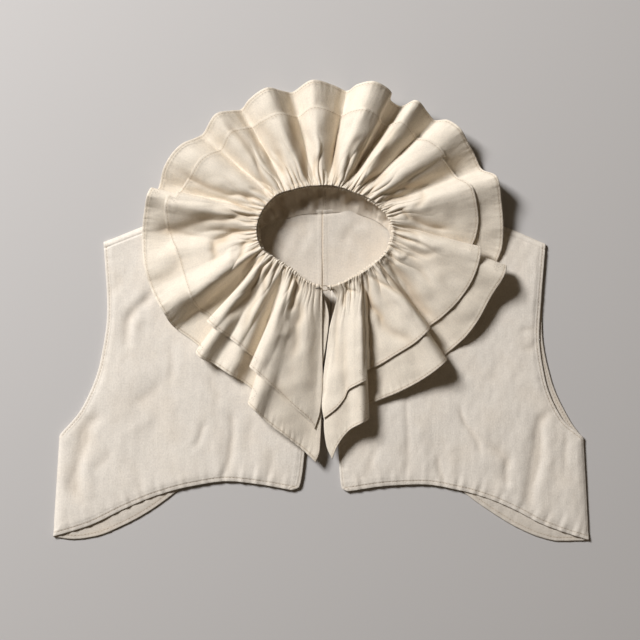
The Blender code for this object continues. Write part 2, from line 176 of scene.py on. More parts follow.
Bow = namedtuple("Bow", "depth sideways")
LONG_RIGHT_BOW = [Bow(0, 0), Bow(0.17, 6.9), Bow(0.34, 4.8), Bow(0.45, 2.6), Bow(0.75, 3.4),
                  Bow(0.93, 3.0), Bow(1, 0)]
SHORT_RIGHT_BOW = [Bow(0, 0), Bow(0.36, 2.2), Bow(0.72, 4.7), Bow(0.88, 3.7), Bow(1, 0)]
LONG_LEFT_BOW = [Bow(0, 0), Bow(0.1, 6.5), Bow(0.3, 2.0), Bow(0.6, -4.5), Bow(0.8, -7.0),
                 Bow(0.92, -5.0), Bow(1, 0)]
SHORT_LEFT_BOW = [Bow(0, 0), Bow(0.06, 6.0), Bow(0.15, 4.3), Bow(0.34, 0.2), Bow(0.52, -1),
                  Bow(0.7, -2.6), Bow(0.88, -2.5), Bow(1, 0)]

Point = namedtuple("Point", "x y")
RIGHT_NECK_POINT = Point(-60, 76)    # where shoulder and neck edge meet
LEFT_NECK_POINT = Point(66, 74)

FRONT_RIGHT = dict(
    hem=[Point(-237.3, -199), Point(-205, -189), Point(-173.6, -174), Point(-147, -163),
         Point(-117, -154.6), Point(-82.5, -149.8), Point(-59, -152), Point(-26, -157.7)],
    front=[Point(-26, -157.7), Point(-19.6, -155), Point(-14, -116), Point(-8, -60), Point(-4, 19)],
    side=[Point(-237.3, -199), Point(-231.7, -109.3)],
    armhole=[Point(-231.7, -109.3), Point(-211.6, -85), Point(-195.4, -44), Point(-189.2, 2.2),
             Point(-192.5, 61.7)],
    shoulder=[Point(-192.5, 61.7), Point(-145, 80), Point(-104, 93), Point(-76, 90),
              RIGHT_NECK_POINT],
    neck=[RIGHT_NECK_POINT, Point(-57, 56), Point(-43, 38), Point(-24, 24), Point(-4, 19)])
FRONT_LEFT = dict(
    hem=[Point(236.9, -202), Point(218.9, -196.4), Point(195.1, -187.6), Point(171.7, -175.3),
         Point(148.1, -165.2), Point(124.7, -158.4), Point(88.4, -152.6), Point(61.7, -153.6),
         Point(23.2, -158.8)],
    front=[Point(23.2, -158.8), Point(18, -155.4), Point(15, -116), Point(10, -60), Point(9, 19)],
    side=[Point(236.9, -202), Point(232, -111)],
    armhole=[Point(232, -111), Point(213.6, -95.2), Point(198, -59.5), Point(192.9, -20.4),
             Point(194.8, 13.5), Point(198.6, 60)],
    shoulder=[Point(198.6, 60), Point(152, 79), Point(108, 92), Point(81, 88), LEFT_NECK_POINT],
    neck=[LEFT_NECK_POINT, Point(63, 52), Point(48, 34), Point(28, 23), Point(9, 19)])
BACK_RIGHT = dict(
    hem=[Point(-237, -199.5), Point(-219, -201.5), Point(-200, -199), Point(-177, -190),
         Point(-153, -177), Point(-127, -158), Point(-95, -130), Point(-55, -101), Point(0.2, -88)],
    front=[Point(0.2, -88), Point(0.6, 0), Point(0.9, 90)],
    side=[Point(-237, -199.5), Point(-231.4, -109.6)],
    armhole=[Point(-231.4, -109.6), Point(-211.2, -85.4), Point(-195, -44), Point(-188.8, 2.2),
             Point(-192, 62)],
    shoulder=[Point(-192, 62), Point(-145, 80.5), Point(-104, 93.5), Point(-76, 90.5),
              RIGHT_NECK_POINT],
    neck=[RIGHT_NECK_POINT, Point(-48, 81), Point(-32, 86), Point(-15, 90), Point(0.9, 90)])
BACK_LEFT = dict(
    hem=[Point(236.5, -202.6), Point(210.9, -203.2), Point(195.1, -200), Point(173.1, -190.8),
         Point(156, -180.8), Point(124.6, -158.4), Point(95, -130), Point(56, -101),
         Point(0.6, -88)],
    front=[Point(0.6, -88), Point(1.0, 0), Point(1.3, 90)],
    side=[Point(236.5, -202.6), Point(231.8, -112)],
    armhole=[Point(231.8, -112), Point(219.7, -95.2), Point(203.5, -59.5), Point(195.7, -17.8),
             Point(195.2, 13.5), Point(198.2, 60.4)],
    shoulder=[Point(198.2, 60.4), Point(152, 79.5), Point(108, 92.5), Point(81, 88.5),
              LEFT_NECK_POINT],
    neck=[LEFT_NECK_POINT, Point(54, 80), Point(42, 87), Point(24, 92), Point(1.3, 90)])

Crease = namedtuple("Crease", "x0 y0 x1 y1 width depth")
FRONT_CREASES = [        # soft troughs (depth below 0) and ridges of the fronts, end to end
    # wearer's right front
    Crease(-150, 18, -166, 0, 4.5, -1.5), Crease(-166, 0, -175, -28, 5, -1.5),
    Crease(-158, 18, -172, 2, 5, 0.9), Crease(-160, -6, -168, -24, 5, 0.8),
    Crease(-176, 34, -190, 14, 6, -0.7), Crease(-133, -30, -133, -58, 4, -0.8),
    Crease(-96, -58, -92, -80, 4, -0.7), Crease(-102, -100, -113, -119, 3.2, -0.9),
    Crease(-77, -92, -81, -118, 3.4, -1.1), Crease(-81, -118, -85, -149, 3.6, -1.3),
    Crease(-90, -116, -92, -146, 5, 0.8), Crease(-198, -92, -212, -115, 6, -1.5),
    Crease(-212, -115, -218, -164, 6, -1.7), Crease(-204, -118, -208, -168, 6, 0.9),
    Crease(-222, -150, -206, -172, 5, -0.8), Crease(-144, -60, -162, -84, 6, -0.7),
    Crease(-150, -88, -172, -112, 6, 0.6), Crease(-188, -122, -200, -142, 5, -0.7),
    Crease(-128, -78, -140, -112, 7, 0.6), Crease(-60, -96, -64, -130, 5, -0.6),
    Crease(-170, -130, -160, -160, 6, -0.6), Crease(-44, -124, -47, -150, 4, -0.7),
    # wearer's left front
    Crease(198, -90, 190, -116, 5, -1.7), Crease(190, -116, 185, -178, 6, -2.0),
    Crease(201, -104, 196, -160, 6, 1.1), Crease(178, -100, 176, -146, 7, 0.7),
    Crease(122, -86, 132, -105, 2.6, -1.2), Crease(132, -105, 142, -124, 3, -1.0),
    Crease(130, -84, 146, -112, 5, 0.7), Crease(104, -128, 107, -152, 3, -1.1),
    Crease(75, -74, 76, -146, 3, -0.8), Crease(150, -118, 166, -136, 3.6, -1.0),
    Crease(166, -130, 164, -154, 4, -1.2), Crease(176, -18, 191, -15, 2.6, -0.8),
    Crease(179, -33, 192, -29, 2.4, -0.7), Crease(168, -38, 190, -60, 2.6, 0.7),
    Crease(162, -42, 148, -62, 6, -0.6), Crease(215, -112, 218, -136, 3.4, -0.9),
    Crease(154, -150, 170, -158, 4, 0.8), Crease(214, -150, 226, -188, 7, 0.7),
    Crease(92, -96, 88, -140, 6, 0.6), Crease(46, -122, 42, -152, 4, -0.7),
    Crease(118, -116, 112, -150, 5, 0.6), Crease(206, -176, 196, -190, 5, -0.7)]
BACK_CREASES = [         # the same kind of creases on the back, seen in the neck and from behind
    Crease(24, 92, 12, 88, 1.4, -1.5), Crease(12, 88, -9, 86.5, 1.4, -1.4),
    Crease(34, 86, 60, 73, 1.4, -1.1),
    Crease(-10, 80, -38, 74, 2.4, -0.8),
    Crease(-20, 72, -36, 42, 5, 0.9), Crease(22, 84, 42, 68, 4, 1.0),
    Crease(30, 70, 46, 50, 5, -0.9),
    Crease(-42, 66, -22, 50, 4, -0.9), Crease(-6, 74, -16, 48, 5, 0.7),
    Crease(12, 60, 26, 44, 5, 0.8),
    Crease(34, 80, 20, 62, 4, -0.8), Crease(-26, 80, -12, 66, 4, -0.7),
    Crease(-150, 20, -170, -30, 8, 0.9), Crease(120, 10, 150, -50, 8, 0.9),
    Crease(-90, -60, -80, -110, 7, 0.9), Crease(96, -50, 84, -108, 7, 0.9),
    Crease(-190, -110, -200, -170, 7, 0.9), Crease(196, -116, 204, -176, 7, 0.9),
    Crease(-60, 40, -90, 0, 8, 0.8), Crease(60, 20, 80, -30, 8, 0.8),
    Crease(-120, 60, -110, 10, 8, 0.7)]
TIER_CREASES = [         # creases and small dents of both tiers, end to end
    # wearer's right front point
    Crease(-22, 37, -20.5, 20, 2.4, -3.0), Crease(-20.5, 20, -29, 2, 3.2, -3.0),
    Crease(-19, 8, -20, -12, 4.5, -1.9), Crease(-20, -12, -26, -38, 5.0, -1.5),
    Crease(-31, -10, -32, -22, 5, 1.6), Crease(-36, 14, -39, -22, 5, 1.2),
    Crease(-11, 10, -10, -50, 5, 1.0), Crease(-40, -58, -30, -80, 5, -0.9),
    # the pleats beside it
    Crease(-51, 40, -62, 20, 2.6, -2.6), Crease(-62, 20, -79, -6, 4.0, -2.6),
    Crease(-47, 36, -50, 16, 2.4, -1.8), Crease(-55, 22, -66, -16, 3.0, -1.4),
    Crease(-58, 34, -84, 8, 3.5, 1.4), Crease(-43, 44, -47, 32, 1.6, -1.6),
    # right shoulder
    Crease(-66, 70, -86, 66, 3.6, -3.2), Crease(-86, 66, -95, 55, 4.4, -3.2),
    Crease(-95, 55, -93, 45, 3.6, -2.2), Crease(-60, 63, -69, 59, 2.2, -2.2),
    Crease(-69, 59, -70, 47, 2.6, -2.2), Crease(-80, 56, -78, 44, 4.0, 1.8),
    Crease(-60, 82, -80, 83, 2.4, -3.0), Crease(-80, 83, -108, 79, 3.8, -2.8),
    Crease(-108, 79, -140, 74, 5.0, -2.2), Crease(-145, 71, -108, 66, 3.2, -1.4),
    Crease(-57, 88, -77, 95, 2.0, -2.4), Crease(-56, 94, -68, 100, 1.8, -2.2),
    Crease(-47, 101, -61, 108, 1.8, -2.2), Crease(-60, 99, -82, 104, 2.4, -2.2),
    Crease(-82, 104, -118, 119, 3.2, -2.0), Crease(-120, 44, -150, 26, 6, -1.0),
    Crease(-104, 60, -140, 52, 7, 1.2),
    # behind the neck
    Crease(-44, 106, -60, 136, 2.2, -2.4), Crease(-60, 136, -80, 162, 3.2, -2.0),
    Crease(-30, 121, -40, 141, 3.6, -2.6), Crease(-40, 141, -51, 166, 5.0, -1.6),
    Crease(-38, 112, -50, 142, 2.2, -1.4), Crease(-12, 115, -18, 140, 2.6, -3.0),
    Crease(-18, 140, -29, 166, 3.8, -2.4), Crease(-6, 118, -3, 136, 2.4, -2.0),
    Crease(11, 114, 15, 152, 3.0, -2.6), Crease(22, 116, 25, 136, 2.6, -2.0),
    Crease(25, 136, 33, 152, 3.6, -1.4), Crease(30, 124, 38, 146, 3.0, -2.6),
    Crease(38, 112, 52, 122, 2.4, -2.2), Crease(45, 122, 56, 142, 4.0, -2.2),
    Crease(56, 142, 68, 160, 5.0, -1.6), Crease(44, 108, 58, 122, 2.0, -2.0),
    # left shoulder
    Crease(52, 101, 64, 106, 2.0, -2.4), Crease(64, 106, 92, 116, 2.6, -2.4),
    Crease(57, 96, 76, 101, 2.6, -2.2), Crease(84, 91, 90, 104, 3.4, -1.7),
    Crease(70, 88, 78, 82, 2.0, -2.0), Crease(78, 82, 108, 73, 3.4, -2.8),
    Crease(62, 71, 76, 70, 2.2, -1.5), Crease(76, 70, 89, 60, 3.0, -1.6),
    Crease(77, 60, 102, 57, 4.2, 1.6),
    Crease(78, 53, 99, 51, 3.8, -1.5), Crease(58, 51, 66, 43, 2.8, -1.8),
    Crease(66, 50, 74, 48, 2.6, 1.6),
    Crease(76, 48, 98, 25, 3.4, -1.0), Crease(62, 40, 78, 20, 3.6, -2.2),
    Crease(78, 20, 96, -4, 5.0, -2.2), Crease(96, 30, 118, 8, 5.0, 1.2),
    # wearer's left front
    Crease(52, 40, 60, 28, 1.9, -2.6), Crease(60, 28, 77, 10, 2.3, -2.2),
    Crease(42, 33, 66, 16, 1.9, -2.0), Crease(35, 27, 43, 8, 2.4, -3.2),
    Crease(43, 8, 54, -9, 3.4, -3.2), Crease(54, -9, 78, -27, 4.6, -1.5),
    Crease(21, 30, 25, 18, 1.7, -2.2), Crease(20, 18, 21, 5, 1.9, -2.2),
    Crease(24, 20, 34, 15, 1.5, -1.4), Crease(16, 4, 13, -44, 2.4, -1.1),
    Crease(28, 8, 30, -56, 4.0, 1.2), Crease(22, -20, 22, -80, 3.0, -0.8)]


# ---- settings ----

class BodiceSizes(bpy.types.PropertyGroup):
    panel_cloth: FloatProperty(
        name="Panel cloth", description="Thickness of the bodice's muslin as it lies",
        default=0.0008, min=0.0002, max=0.003, unit="LENGTH")
    ruff_cloth: FloatProperty(
        name="Ruff cloth", description="Thickness of one tier of the ruff",
        default=0.0006, min=0.0002, max=0.003, unit="LENGTH")
    hem_width: FloatProperty(
        name="Hem width", description="Width of the turned and stitched hems of the bodice",
        default=0.0044, min=0.002, max=0.02, unit="LENGTH")
    ruff_hem_width: FloatProperty(
        name="Ruff hem width", description="Width of the narrow hem round each tier",
        default=0.0032, min=0.001, max=0.01, unit="LENGTH")
    gathers: IntProperty(
        name="Gathers", description="Fine gathers drawn up round the casing",
        default=138, min=40, max=240)
    gather_height: FloatProperty(
        name="Gather height", description="Height of one fine gather of the casing",
        default=0.0027, min=0.0, max=0.004, unit="LENGTH")
    folds: IntProperty(
        name="Gathered folds", description="Wider folds that the gathers run into on the ruff",
        default=66, min=20, max=140)
    fold_height: FloatProperty(
        name="Fold height", description="Height of one gathered fold beside the casing",
        default=0.0044, min=0.0, max=0.008, unit="LENGTH")
    pleats: IntProperty(
        name="Pleats", description="Long narrow pleats that run out of the gathers",
        default=46, min=10, max=120)
    pleat_depth: FloatProperty(
        name="Pleat depth", description="Depth of the deepest of the long pleats",
        default=0.0030, min=0.0, max=0.008, unit="LENGTH")
    stitch_length: FloatProperty(
        name="Stitch length", description="Length of one visible stitch",
        default=0.0015, min=0.0005, max=0.006, unit="LENGTH")
    thread_width: FloatProperty(
        name="Thread width", description="Thickness of the sewing thread",
        default=0.00024, min=0.0001, max=0.001, unit="LENGTH")


class BodiceColours(bpy.types.PropertyGroup):
    cloth: FloatVectorProperty(
        name="Cloth", description="Colour of the unbleached muslin", subtype="COLOR", size=4,
        default=(0.81, 0.745, 0.652, 1.0), min=0.0, max=1.0)
    # Painted shade: the same muslin as the fronts, made darker for the shade that the back and the
    # stand lie in inside the neck.
    back: FloatVectorProperty(
        name="Back", description="Colour of the back, seen from its wrong side", subtype="COLOR",
        size=4, default=(0.70, 0.635, 0.545, 1.0), min=0.0, max=1.0)
    ruff: FloatVectorProperty(
        name="Ruff", description="Colour of the warmer muslin of the ruff", subtype="COLOR", size=4,
        default=(0.79, 0.708, 0.585, 1.0), min=0.0, max=1.0)
    # Painted shade: this darker, warmer colour is mixed into the muslin where shade falls, down in
    # creases, gathers, hollows and stitch dents.
    trough: FloatVectorProperty(
        name="Troughs", description="Deeper colour down in the creases and gathers",
        subtype="COLOR", size=4, default=(0.52, 0.39, 0.245, 1.0), min=0.0, max=1.0)
    slub: FloatVectorProperty(
        name="Slubs", description="Colour of the thicker threads in the weave", subtype="COLOR",
        size=4, default=(0.68, 0.58, 0.455, 1.0), min=0.0, max=1.0)
    fleck: FloatVectorProperty(
        name="Flecks", description="Colour of the seed flecks in the cotton", subtype="COLOR",
        size=4, default=(0.40, 0.31, 0.21, 1.0), min=0.0, max=1.0)
    thread: FloatVectorProperty(
        name="Thread", description="Colour of the sewing thread", subtype="COLOR", size=4,
        default=(0.42, 0.33, 0.23, 1.0), min=0.0, max=1.0)
    hook: FloatVectorProperty(
        name="Hook", description="Colour of the small wire hook", subtype="COLOR", size=4,
        default=(0.30, 0.28, 0.25, 1.0), min=0.0, max=1.0)
    floor: FloatVectorProperty(
        name="Floor", description="Colour of the plain floor", subtype="COLOR", size=4,
        default=(0.54, 0.52, 0.50, 1.0), min=0.0, max=1.0)


class StageSizes(bpy.types.PropertyGroup):
    camera_height: FloatProperty(
        name="Camera height", description="Height of the camera over the surface",
        default=1.34, min=0.2, max=5.0, unit="LENGTH")
    lens: FloatProperty(
        name="Lens", description="Focal length of the camera in millimetres",
        default=85.0, min=20.0, max=200.0)
    key_power: FloatProperty(
        name="Key power", description="Power of the soft key light in watts",
        default=112.0, min=0.0, max=500.0)
    fill_power: FloatProperty(
        name="Fill power", description="Power of the wide fill light in watts",
        default=1.2, min=0.0, max=500.0)


# ---- shader maths ----

class Maker:
    """Adds nodes to one material."""

    def __init__(self, name):
        self.material = bpy.data.materials.new(name)
        self.material.use_nodes = True
        self.tree = self.material.node_tree
        self.shader = self.tree.nodes["Principled BSDF"]

    def node(self, kind, settings=None, output=0, **values):
        """A node of the given type: its settings first, then the values or links of its sockets."""
        made = self.tree.nodes.new(kind)
        for key, value in (settings or {}).items():
            setattr(made, key, value)
        for key, value in values.items():
            numbered = key[0] == "i" and key[1:].isdigit()
            self.feed(made.inputs[int(key[1:]) if numbered else key], value)
        return Wire(self, made.outputs[output])

    def feed(self, socket, value):
        if isinstance(value, Wire):
            self.tree.links.new(value.socket, socket)
        else:
            socket.default_value = value

    def ramp(self, factor, low, high):
        """0 below low, 1 above high, smooth between."""
        return self.node("ShaderNodeMapRange", {"interpolation_type": "SMOOTHSTEP"},
                         Value=factor, i1=low, i2=high)

    def mix(self, factor, first, second):
        """A colour between two colours."""
        return self.node("ShaderNodeMix", {"data_type": "RGBA"}, output=2,
                         i0=factor, i6=first, i7=second)

    def noise(self, vector, scale, detail=2.0):
        return self.node("ShaderNodeTexNoise", None, Vector=vector, Scale=scale, Detail=detail)

    def stretched(self, vector, scale):
        return self.node("ShaderNodeVectorMath", {"operation": "MULTIPLY"}, i0=vector, i1=scale)


class Wire:
    """An output socket that can be used in sums."""

    def __init__(self, maker, socket):
        self.maker = maker
        self.socket = socket

    def math(self, operation, *others):
        sockets = {f"i{k}": value for k, value in enumerate((self, *others))}
        return self.maker.node("ShaderNodeMath", {"operation": operation}, **sockets)

    def __add__(self, other):
        return self.math("ADD", other)

    __radd__ = __add__

    def __mul__(self, other):
        return self.math("MULTIPLY", other)

    __rmul__ = __mul__

    def __sub__(self, other):
        return self.math("SUBTRACT", other)

    def __rsub__(self, other):
        return (self * -1.0) + other


THREADS_PER_MM = 1.7     # threads of the weave to one millimetre
PAINTED_SHADE_TINT = 0.62       # share of the painted shade colour at the bottom of a crease


def muslin(part="cloth"):
    """Unbleached muslin, on the cloth_mm attribute of a piece.

    It holds the place across and along the flat cloth, then how much painted shade that place gets,
    most down in creases and gathers.
    """
    made = bpy.data.materials.get("muslin_" + part)
    if made:
        return made
    colours = bpy.context.scene.bodice_colours
    m = Maker("muslin_" + part)
    colour = tuple(getattr(colours, part))
    cloth = m.node("ShaderNodeAttribute", {"attribute_name": "cloth_mm"}, output=1)
    warp_slub = m.ramp(m.noise(m.stretched(cloth, (1.9, 0.07, 0.0)), 1.0), 0.56, 0.72)
    weft_slub = m.ramp(m.noise(m.stretched(cloth, (0.08, 2.0, 0.0)), 1.0), 0.58, 0.74)
    streaks = m.noise(m.stretched(cloth, (0.5, 0.02, 0.0)), 1.0, 3.0)
    cloudy = m.noise(m.stretched(cloth, (0.035, 0.03, 0.0)), 1.0, 4.0)
    grain = m.noise(m.stretched(cloth, (0.75, 0.62, 0.0)), 1.0, 5.0)
    mottle = m.noise(m.stretched(cloth, (0.19, 0.15, 0.0)), 1.0, 4.0)
    flecks = m.ramp(m.noise(m.stretched(cloth, (0.9, 0.9, 0.0)), 1.0, 1.0), 0.785, 0.84)
    slub = m.mix(warp_slub * 0.16 + weft_slub * 0.14, colour, tuple(colours.slub))
    worn = m.mix(m.ramp(cloudy, 0.42, 0.72) * 0.22, slub, tuple(colours.slub))
    tint = ((streaks - 0.5) * 0.10 + (cloudy - 0.5) * 0.12 + (grain - 0.5) * 0.34
            + (mottle - 0.5) * 0.16)
    shaded = m.node("ShaderNodeHueSaturation", None, Color=worn, Value=tint + 1.0)
    # Painted shade: the attribute's third value mixes in the darker colour, deepest down in creases
    # and gathers.
    trough = m.node("ShaderNodeSeparateXYZ", None, output=2, Vector=cloth)
    deep = m.mix(trough * PAINTED_SHADE_TINT, shaded, tuple(colours.trough))
    m.feed(m.shader.inputs["Base Color"], m.mix(flecks * 0.5, deep, tuple(colours.fleck)))
    across = m.node("ShaderNodeSeparateXYZ", None, output=0, Vector=cloth)
    along = m.node("ShaderNodeSeparateXYZ", None, output=1, Vector=cloth)
    pitch = math.tau * THREADS_PER_MM
    weave = (across * pitch).math("SINE") * (along * pitch).math("SINE")
    rough = m.noise(m.stretched(cloth, (0.8, 0.8, 0.0)), 1.0, 4.0)
    crumple = m.noise(m.stretched(cloth, (0.13, 0.09, 0.0)), 1.0, 4.0)
    height = (weave * 0.05 + rough * 0.24 + grain * 0.16 + warp_slub * 0.07 + weft_slub * 0.07
              + streaks * 0.05 + crumple * 0.5)
    bump = m.node("ShaderNodeBump", None, Height=height, Strength=0.6, Distance=0.001)
    m.feed(m.shader.inputs["Normal"], bump)
    m.feed(m.shader.inputs["Roughness"], rough * 0.16 + 0.80)
    m.shader.inputs["Sheen Weight"].default_value = 0.12
    m.shader.inputs["Sheen Roughness"].default_value = 0.5
    m.shader.inputs["Specular IOR Level"].default_value = 0.25
    return m.material


def sewing_thread():
    """Cotton thread with a slight twist and uneven colour."""
    made = bpy.data.materials.get("sewing_thread")
    if made:
        return made
    colours = bpy.context.scene.bodice_colours
    m = Maker("sewing_thread")
    place = m.node("ShaderNodeTexCoord", None, output=3)
    uneven = m.noise(place, 260.0)
    darker = tuple(c * 0.8 for c in colours.thread[:3]) + (1.0,)
    m.feed(m.shader.inputs["Base Color"], m.mix(uneven, darker, tuple(colours.thread)))
    twist = m.node("ShaderNodeTexWave", None, output=1, Vector=place, Scale=900.0, Distortion=1.0)
    bump = m.node("ShaderNodeBump", None, Height=twist, Strength=0.4, Distance=0.0001)
    m.feed(m.shader.inputs["Normal"], bump)
    m.feed(m.shader.inputs["Roughness"], uneven * 0.2 + 0.65)
    return m.material


def hook_wire():
    """Dull wire, tarnished in patches."""
    colours = bpy.context.scene.bodice_colours
    m = Maker("hook_wire")
    place = m.node("ShaderNodeTexCoord", None, output=3)
    tarnish = m.noise(place, 900.0)
    dark = tuple(c * 0.55 for c in colours.hook[:3]) + (1.0,)
    m.feed(m.shader.inputs["Base Color"], m.mix(tarnish, dark, tuple(colours.hook)))
    m.feed(m.shader.inputs["Roughness"], tarnish * 0.3 + 0.3)
    m.shader.inputs["Metallic"].default_value = 0.95
    return m.material


# ---- curves and heights ----

def curve(knots, values, overshoot=False):
    """A smooth curve through the rows, read with arrays. Without overshoot it adds no new highs."""
    knots = np.asarray(knots, float)
    values = np.asarray(values, float)
    gaps = np.diff(knots)
    steps = np.diff(values) / gaps
    slopes = np.empty_like(values)
    slopes[0], slopes[-1] = steps[0], steps[-1]
    before, after = steps[:-1], steps[1:]
    if overshoot:
        slopes[1:-1] = (before * gaps[1:] + after * gaps[:-1]) / (gaps[:-1] + gaps[1:])
    else:
        total = before + after
        safe = np.where(before * after > 0.0, total, 1.0)
        slopes[1:-1] = np.where(before * after > 0.0, 2.0 * before * after / safe, 0.0)

    def read(x):
        x = np.asarray(x, float)
        k = np.clip(np.searchsorted(knots, x, side="right") - 1, 0, len(gaps) - 1)
        h = gaps[k]
        t = (x - knots[k]) / h
        return (values[k] + h * slopes[k] * t * (1 - t) ** 2
                + (values[k + 1] - values[k]) * t * t * (3 - 2 * t)
                - h * slopes[k + 1] * t * t * (1 - t))
    return read


def outline(points):
    """A smooth line through a panel's points, read by the share of its length from 0 to 1."""
    steps = [math.dist(a, b) for a, b in zip(points, points[1:])]
    shares = np.concatenate(([0.0], np.cumsum(steps))) / sum(steps)
    along_x = curve(shares, [p.x for p in points])
    along_y = curve(shares, [p.y for p in points])
    return lambda t: np.stack((along_x(t), along_y(t)), axis=-1)


def joined(first, second, share):
    """Two outlines end to end, the first taking the given share of the range 0 to 1."""
    def read(t):
        t = np.asarray(t, float)[..., None]
        early = first(np.clip(t[..., 0] / share, 0, 1))
        late = second(np.clip((t[..., 0] - share) / (1.0 - share), 0, 1))
        return np.where(t <= share, early, late)
    return read


def smooth(t):
    t = np.clip(t, 0.0, 1.0)
    return t * t * (3.0 - 2.0 * t)


def drift(x, y, size, seed):
    """Soft uneven waves of about the given size, from -1 to 1, the same on each run."""
    draw = np.random.default_rng(seed)
    total = np.zeros_like(x)
    for _ in range(8):
        turn, phase = draw.uniform(0, math.tau, 2)
        pitch = math.tau / (size * draw.uniform(0.7, 1.6))
        total += np.sin((x * math.cos(turn) + y * math.sin(turn)) * pitch + phase)
    return total / 4.0


def off_line(x, y, line):
    """Distance from each point to a line of points, and how far along the line that is."""
    starts, ends = line[:-1], line[1:]
    spans = ends - starts
    lengths = np.linalg.norm(spans, axis=1)
    runs = np.concatenate(([0.0], np.cumsum(lengths)))
    best = np.full(x.shape, 1e9)
    run = np.zeros(x.shape)
    for start, span, length, at in zip(starts, spans, lengths, runs):
        t = np.clip(((x - start[0]) * span[0] + (y - start[1]) * span[1]) / length ** 2, 0, 1)
        away = np.hypot(x - start[0] - t * span[0], y - start[1] - t * span[1])
        nearer = away < best
        best = np.where(nearer, away, best)
        run = np.where(nearer, at + t * length, run)
    return best, run


rim_radius = curve([r.angle for r in RIM], [r.radius for r in RIM])
seam_x = curve([s.angle for s in NECK_SEAM], [s.x for s in NECK_SEAM])
seam_y = curve([s.angle for s in NECK_SEAM], [s.y for s in NECK_SEAM])


def about_neck(angle, radius):
    turn = np.radians(angle)
    return np.stack((NECK_CENTRE[0] + radius * np.cos(turn),
                     NECK_CENTRE[1] + radius * np.sin(turn)), axis=-1)


class HeightMap:
    """The highest cloth at each place in plan, for what lies on it."""

    CELL = 0.8
    HALF = 260.0

    def __init__(self):
        self.count = int(2 * self.HALF / self.CELL)
        self.top = np.zeros((self.count, self.count))

    def add(self, points, spread):
        """Raises the map under these points, and for spread cells round them."""
        cells = ((points[:, :2] + self.HALF) / self.CELL).astype(int)
        np.clip(cells, 0, self.count - 1, out=cells)
        layer = np.full_like(self.top, -1.0)
        np.maximum.at(layer, (cells[:, 1], cells[:, 0]), points[:, 2])
        for _ in range(spread):
            wide = layer.copy()
            for axis in (0, 1):
                for step in (-1, 1):
                    wide = np.maximum(wide, np.roll(layer, step, axis))
            layer = wide
        soft = np.maximum(layer, 0.0)
        for _ in range(2):
            soft = (soft + sum(np.roll(soft, s, a) for a in (0, 1) for s in (-1, 1))) / 5.0
        self.top = np.maximum(self.top, np.where(layer >= 0.0, np.maximum(soft, 0.0), self.top))

    def read(self, x, y):
        fx = np.clip((x + self.HALF) / self.CELL - 0.5, 0, self.count - 2)
        fy = np.clip((y + self.HALF) / self.CELL - 0.5, 0, self.count - 2)
        ix, iy = fx.astype(int), fy.astype(int)
        tx, ty = fx - ix, fy - iy
        low = self.top[iy, ix] * (1 - tx) + self.top[iy, ix + 1] * tx
        high = self.top[iy + 1, ix] * (1 - tx) + self.top[iy + 1, ix + 1] * tx
        return low * (1 - ty) + high * ty


laid = HeightMap()


def rest_on(z, floor_z, softness=0.8):
    """The higher of two heights, blended softly where they meet."""
    return 0.5 * (z + floor_z + np.sqrt((z - floor_z) ** 2 + softness ** 2))


# ---- making pieces ----

def unit_grid(name, columns, rows):
    """A flat grid mesh and its points' shares of the way along and across, from 0 to 1."""
    shape = bmesh.new()
    bmesh.ops.create_grid(shape, x_segments=columns, y_segments=rows, size=0.5)
    mesh = bpy.data.meshes.new(name)
    shape.to_mesh(mesh)
    shape.free()
    places = np.empty(len(mesh.vertices) * 3)
    mesh.vertices.foreach_get("co", places)
    places = places.reshape(-1, 3) + 0.5
    return mesh, places[:, 0], places[:, 1]


def set_points(mesh, points):
    """Moves a mesh's points to places given in the tables' millimetres."""
    moved = (points + np.array([SHIFT[0], SHIFT[1], 0.0])) * MM
    mesh.vertices.foreach_set("co", moved.ravel())
    mesh.update()


def set_cloth(mesh, across, along, trough):
    """Writes where each point is in the flat cloth, and how much painted shade it gets, from 0 to
    1.
    """
    layer = mesh.attributes.new("cloth_mm", "FLOAT_VECTOR", "POINT")
    deep = np.clip(trough, 0.0, 1.0)
    layer.data.foreach_set("vector", np.stack((across, along, deep), axis=-1).ravel())


def face_up(mesh):
    """Turns a sheet's faces over if they look down."""
    normals = np.empty(len(mesh.polygons) * 3)
    mesh.polygons.foreach_get("normal", normals)
    if normals.reshape(-1, 3)[:, 2].sum() < 0:
        mesh.flip_normals()


def add_piece(mesh, material, nodes, wall=None, wall_offset=1.0):
    """Links a finished mesh, rides it on the body and lets it stand for its CAD nodes."""
    mesh.polygons.foreach_set("use_smooth", np.ones(len(mesh.polygons), bool))
    mesh.materials.append(material)
    piece = bpy.data.objects.new(mesh.name, mesh)
    bpy.context.scene.collection.objects.link(piece)
    if wall:
        thick = piece.modifiers.new("cloth", "SOLIDIFY")
        thick.thickness = wall
        thick.offset = wall_offset
    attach(piece, BODY)
    if nodes:
        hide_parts(*nodes)
    return piece


def near_edges(t, fine_share, fine_part):
    """Moves a grid's rows so that fine_part of them lie in the fine_share next to each end."""
    return np.interp(t, [0, fine_part, 1 - fine_part, 1], [0, fine_share, 1 - fine_share, 1])


def crease_height(x, y, creases):
    """Sum of the soft troughs and ridges, each fading at its ends."""
    height = np.zeros_like(x)
    for c in creases:
        span_x, span_y = c.x1 - c.x0, c.y1 - c.y0
        length = math.hypot(span_x, span_y)
        along = ((x - c.x0) * span_x + (y - c.y0) * span_y) / length
        across = ((x - c.x0) * span_y - (y - c.y0) * span_x) / length
        sway = 0.4 * c.width * np.sin(along / length * 4.0 + c.x0)
        end = np.clip(np.abs(along - length / 2) - length / 4, 0, None) / (length / 3.2)
        height += c.depth * np.exp(-((across + sway) / c.width) ** 2 - end * end)
    return height


def hem_profile(away, width):
    """A turned hem: a thicker band, dented at its line of stitches, rounded at the edge."""
    band = 0.20 * smooth((width + 1.2 - away) / 1.2)
    dent = -0.16 * np.exp(-((away - width + 1.0) / 0.7) ** 2)
    rounded = -0.25 * np.exp(-(away / 0.6) ** 2)
    return band + dent + rounded


